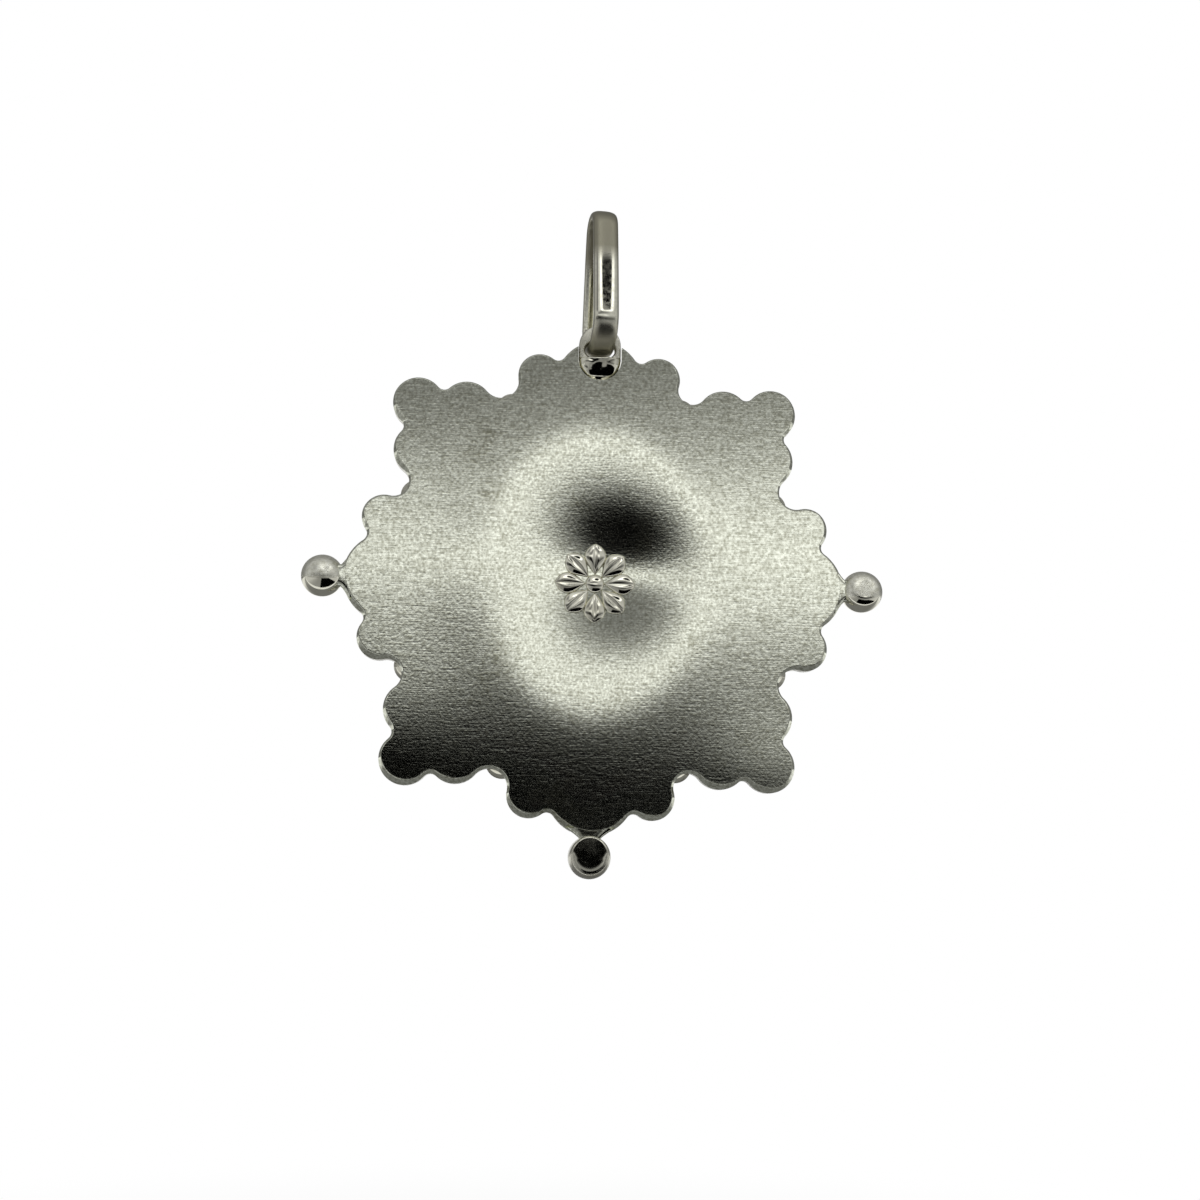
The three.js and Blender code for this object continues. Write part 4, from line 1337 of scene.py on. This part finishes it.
floor, tree = level_sheet("floor", -FLOOR_REACH, FLOOR_REACH, -FLOOR_REACH, FLOOR_REACH, FLOOR_Z)
pale = node(tree, "ShaderNodeBsdfDiffuse", {"Color": (0.9, 0.9, 0.9, 1)})
glow = node(tree, "ShaderNodeEmission", {"Color": WHITE, "Strength": 1.0})
ray = node(tree, "ShaderNodeLightPath").outputs
seen = maths(tree, "MAXIMUM", ray["Is Camera Ray"], ray["Is Glossy Ray"])
away = vector_maths(tree, "LENGTH", node(tree, "ShaderNodeTexCoord").outputs["Object"])
fade = remapped(tree, away, FADE_FROM, FADE_TO, FADE_LEAST, 1.0, "SMOOTHSTEP")
shade = node(tree, "ShaderNodeMixShader",
             {0: maths(tree, "MULTIPLY", seen, fade), 1: pale.outputs[0], 2: glow.outputs[0]})
set_inputs(tree.nodes["Material Output"], {"Surface": shade.outputs[0]})
print(f"floor {-FLOOR_Z / MM:.0f} mm below the chain")

# %% Cards
CARD_HALF, CARD_STEP = 1.5, 0.001
SIDE_FROM, SIDE_TO = 0.05, 0.25
# Name, left and right end, range of y, tone (in the middle, at the sides), steps over the floor
CARDS = [
    ("horizon_card", -CARD_HALF, CARD_HALF, -2.4, -1.5, (0.03, 0.05), 2),
    ("far_card", -CARD_HALF, CARD_HALF, -1.5, -1.0, (0.12, 0.25), 2),
    ("middle_card", -CARD_HALF, CARD_HALF, -1.0, -0.30, (0.25, 0.40), 2),
    ("side_card", -CARD_HALF, CARD_HALF, -0.30, -0.045, (0.30, 0.60), 2),
    ("near_flag", -0.03, 0.16, -0.30, -0.04, (0.0, 0.0), 3),
    ("white_strip", -CARD_HALF, CARD_HALF, -0.045, -0.022, (0.9, 0.9), 2),
    ("near_card", -CARD_HALF, CARD_HALF, -0.022, 0.06, (0.19, 0.35), 2),
    ("back_card", -CARD_HALF, CARD_HALF, 0.06, 0.30, (0.19, 0.85), 2),
]
for name, left, right, y_from, y_to, tone, steps in CARDS:
    card, tree = level_sheet(name, left, right, y_from, y_to, FLOOR_Z + CARD_STEP * steps)
    spot = node(tree, "ShaderNodeTexCoord").outputs["Object"]
    aside = maths(tree, "ABSOLUTE", node(tree, "ShaderNodeSeparateXYZ", {0: spot}).outputs["X"])
    level = remapped(tree, aside, SIDE_FROM, SIDE_TO, *tone, "SMOOTHSTEP")
    lit = node(tree, "ShaderNodeEmission", {"Strength": level})
    set_inputs(tree.nodes["Material Output"], {"Surface": lit.outputs[0]})
    card.visible_camera = card.visible_diffuse = card.visible_shadow = False
print(f"{len(CARDS)} cards on the floor")

# %% Lamp
lamp = bpy.data.lights.new("top_softbox", "AREA")
lamp.shape = "DISK"
lamp.size = 0.5
lamp.energy = 0.5
softbox = placed("top_softbox", lamp)
softbox.location = (0.1, -0.05, 0.55)
softbox.visible_glossy = False
print(f"{lamp.name}: {lamp.energy} W")

# %% [markdown]
# ## The camera
# The photograph was taken from a little below and to the left, with the camera slightly rolled. These
# angles, the distance and the lens were fitted to the outline. A track-to constraint could aim the
# camera but not roll it, so its matrix is built from three directions.

# %% Camera
AZIMUTH, ELEVATION, ROLL = math.radians(-3.701), math.radians(-8.849), math.radians(1.170)
DISTANCE, LENS, SENSOR, CLIP_START = 0.110, 47.41, 36.0, 0.001
TARGET = Vector((0.387 * MM, 0, CENTRE_Z - 1.118 * MM))
out = Vector((math.sin(AZIMUTH) * math.cos(ELEVATION), -math.cos(AZIMUTH) * math.cos(ELEVATION),
              math.sin(ELEVATION)))
right = Vector((math.cos(AZIMUTH), math.sin(AZIMUTH), 0))
rolled = right * math.cos(ROLL) + out.cross(right) * math.sin(ROLL)
camera = bpy.data.cameras.new("camera")
camera.lens = LENS
camera.sensor_width = SENSOR
camera.clip_start = CLIP_START
viewer = placed("camera", camera)
turned = Matrix((rolled, out.cross(rolled), out)).transposed().to_4x4()
viewer.matrix_world = Matrix.Translation(TARGET + out * DISTANCE) @ turned
scene.camera = viewer
scene.view_settings.view_transform = "Standard"
print(f"camera {DISTANCE / MM:.0f} mm away, {math.degrees(ELEVATION):.1f} degrees up")
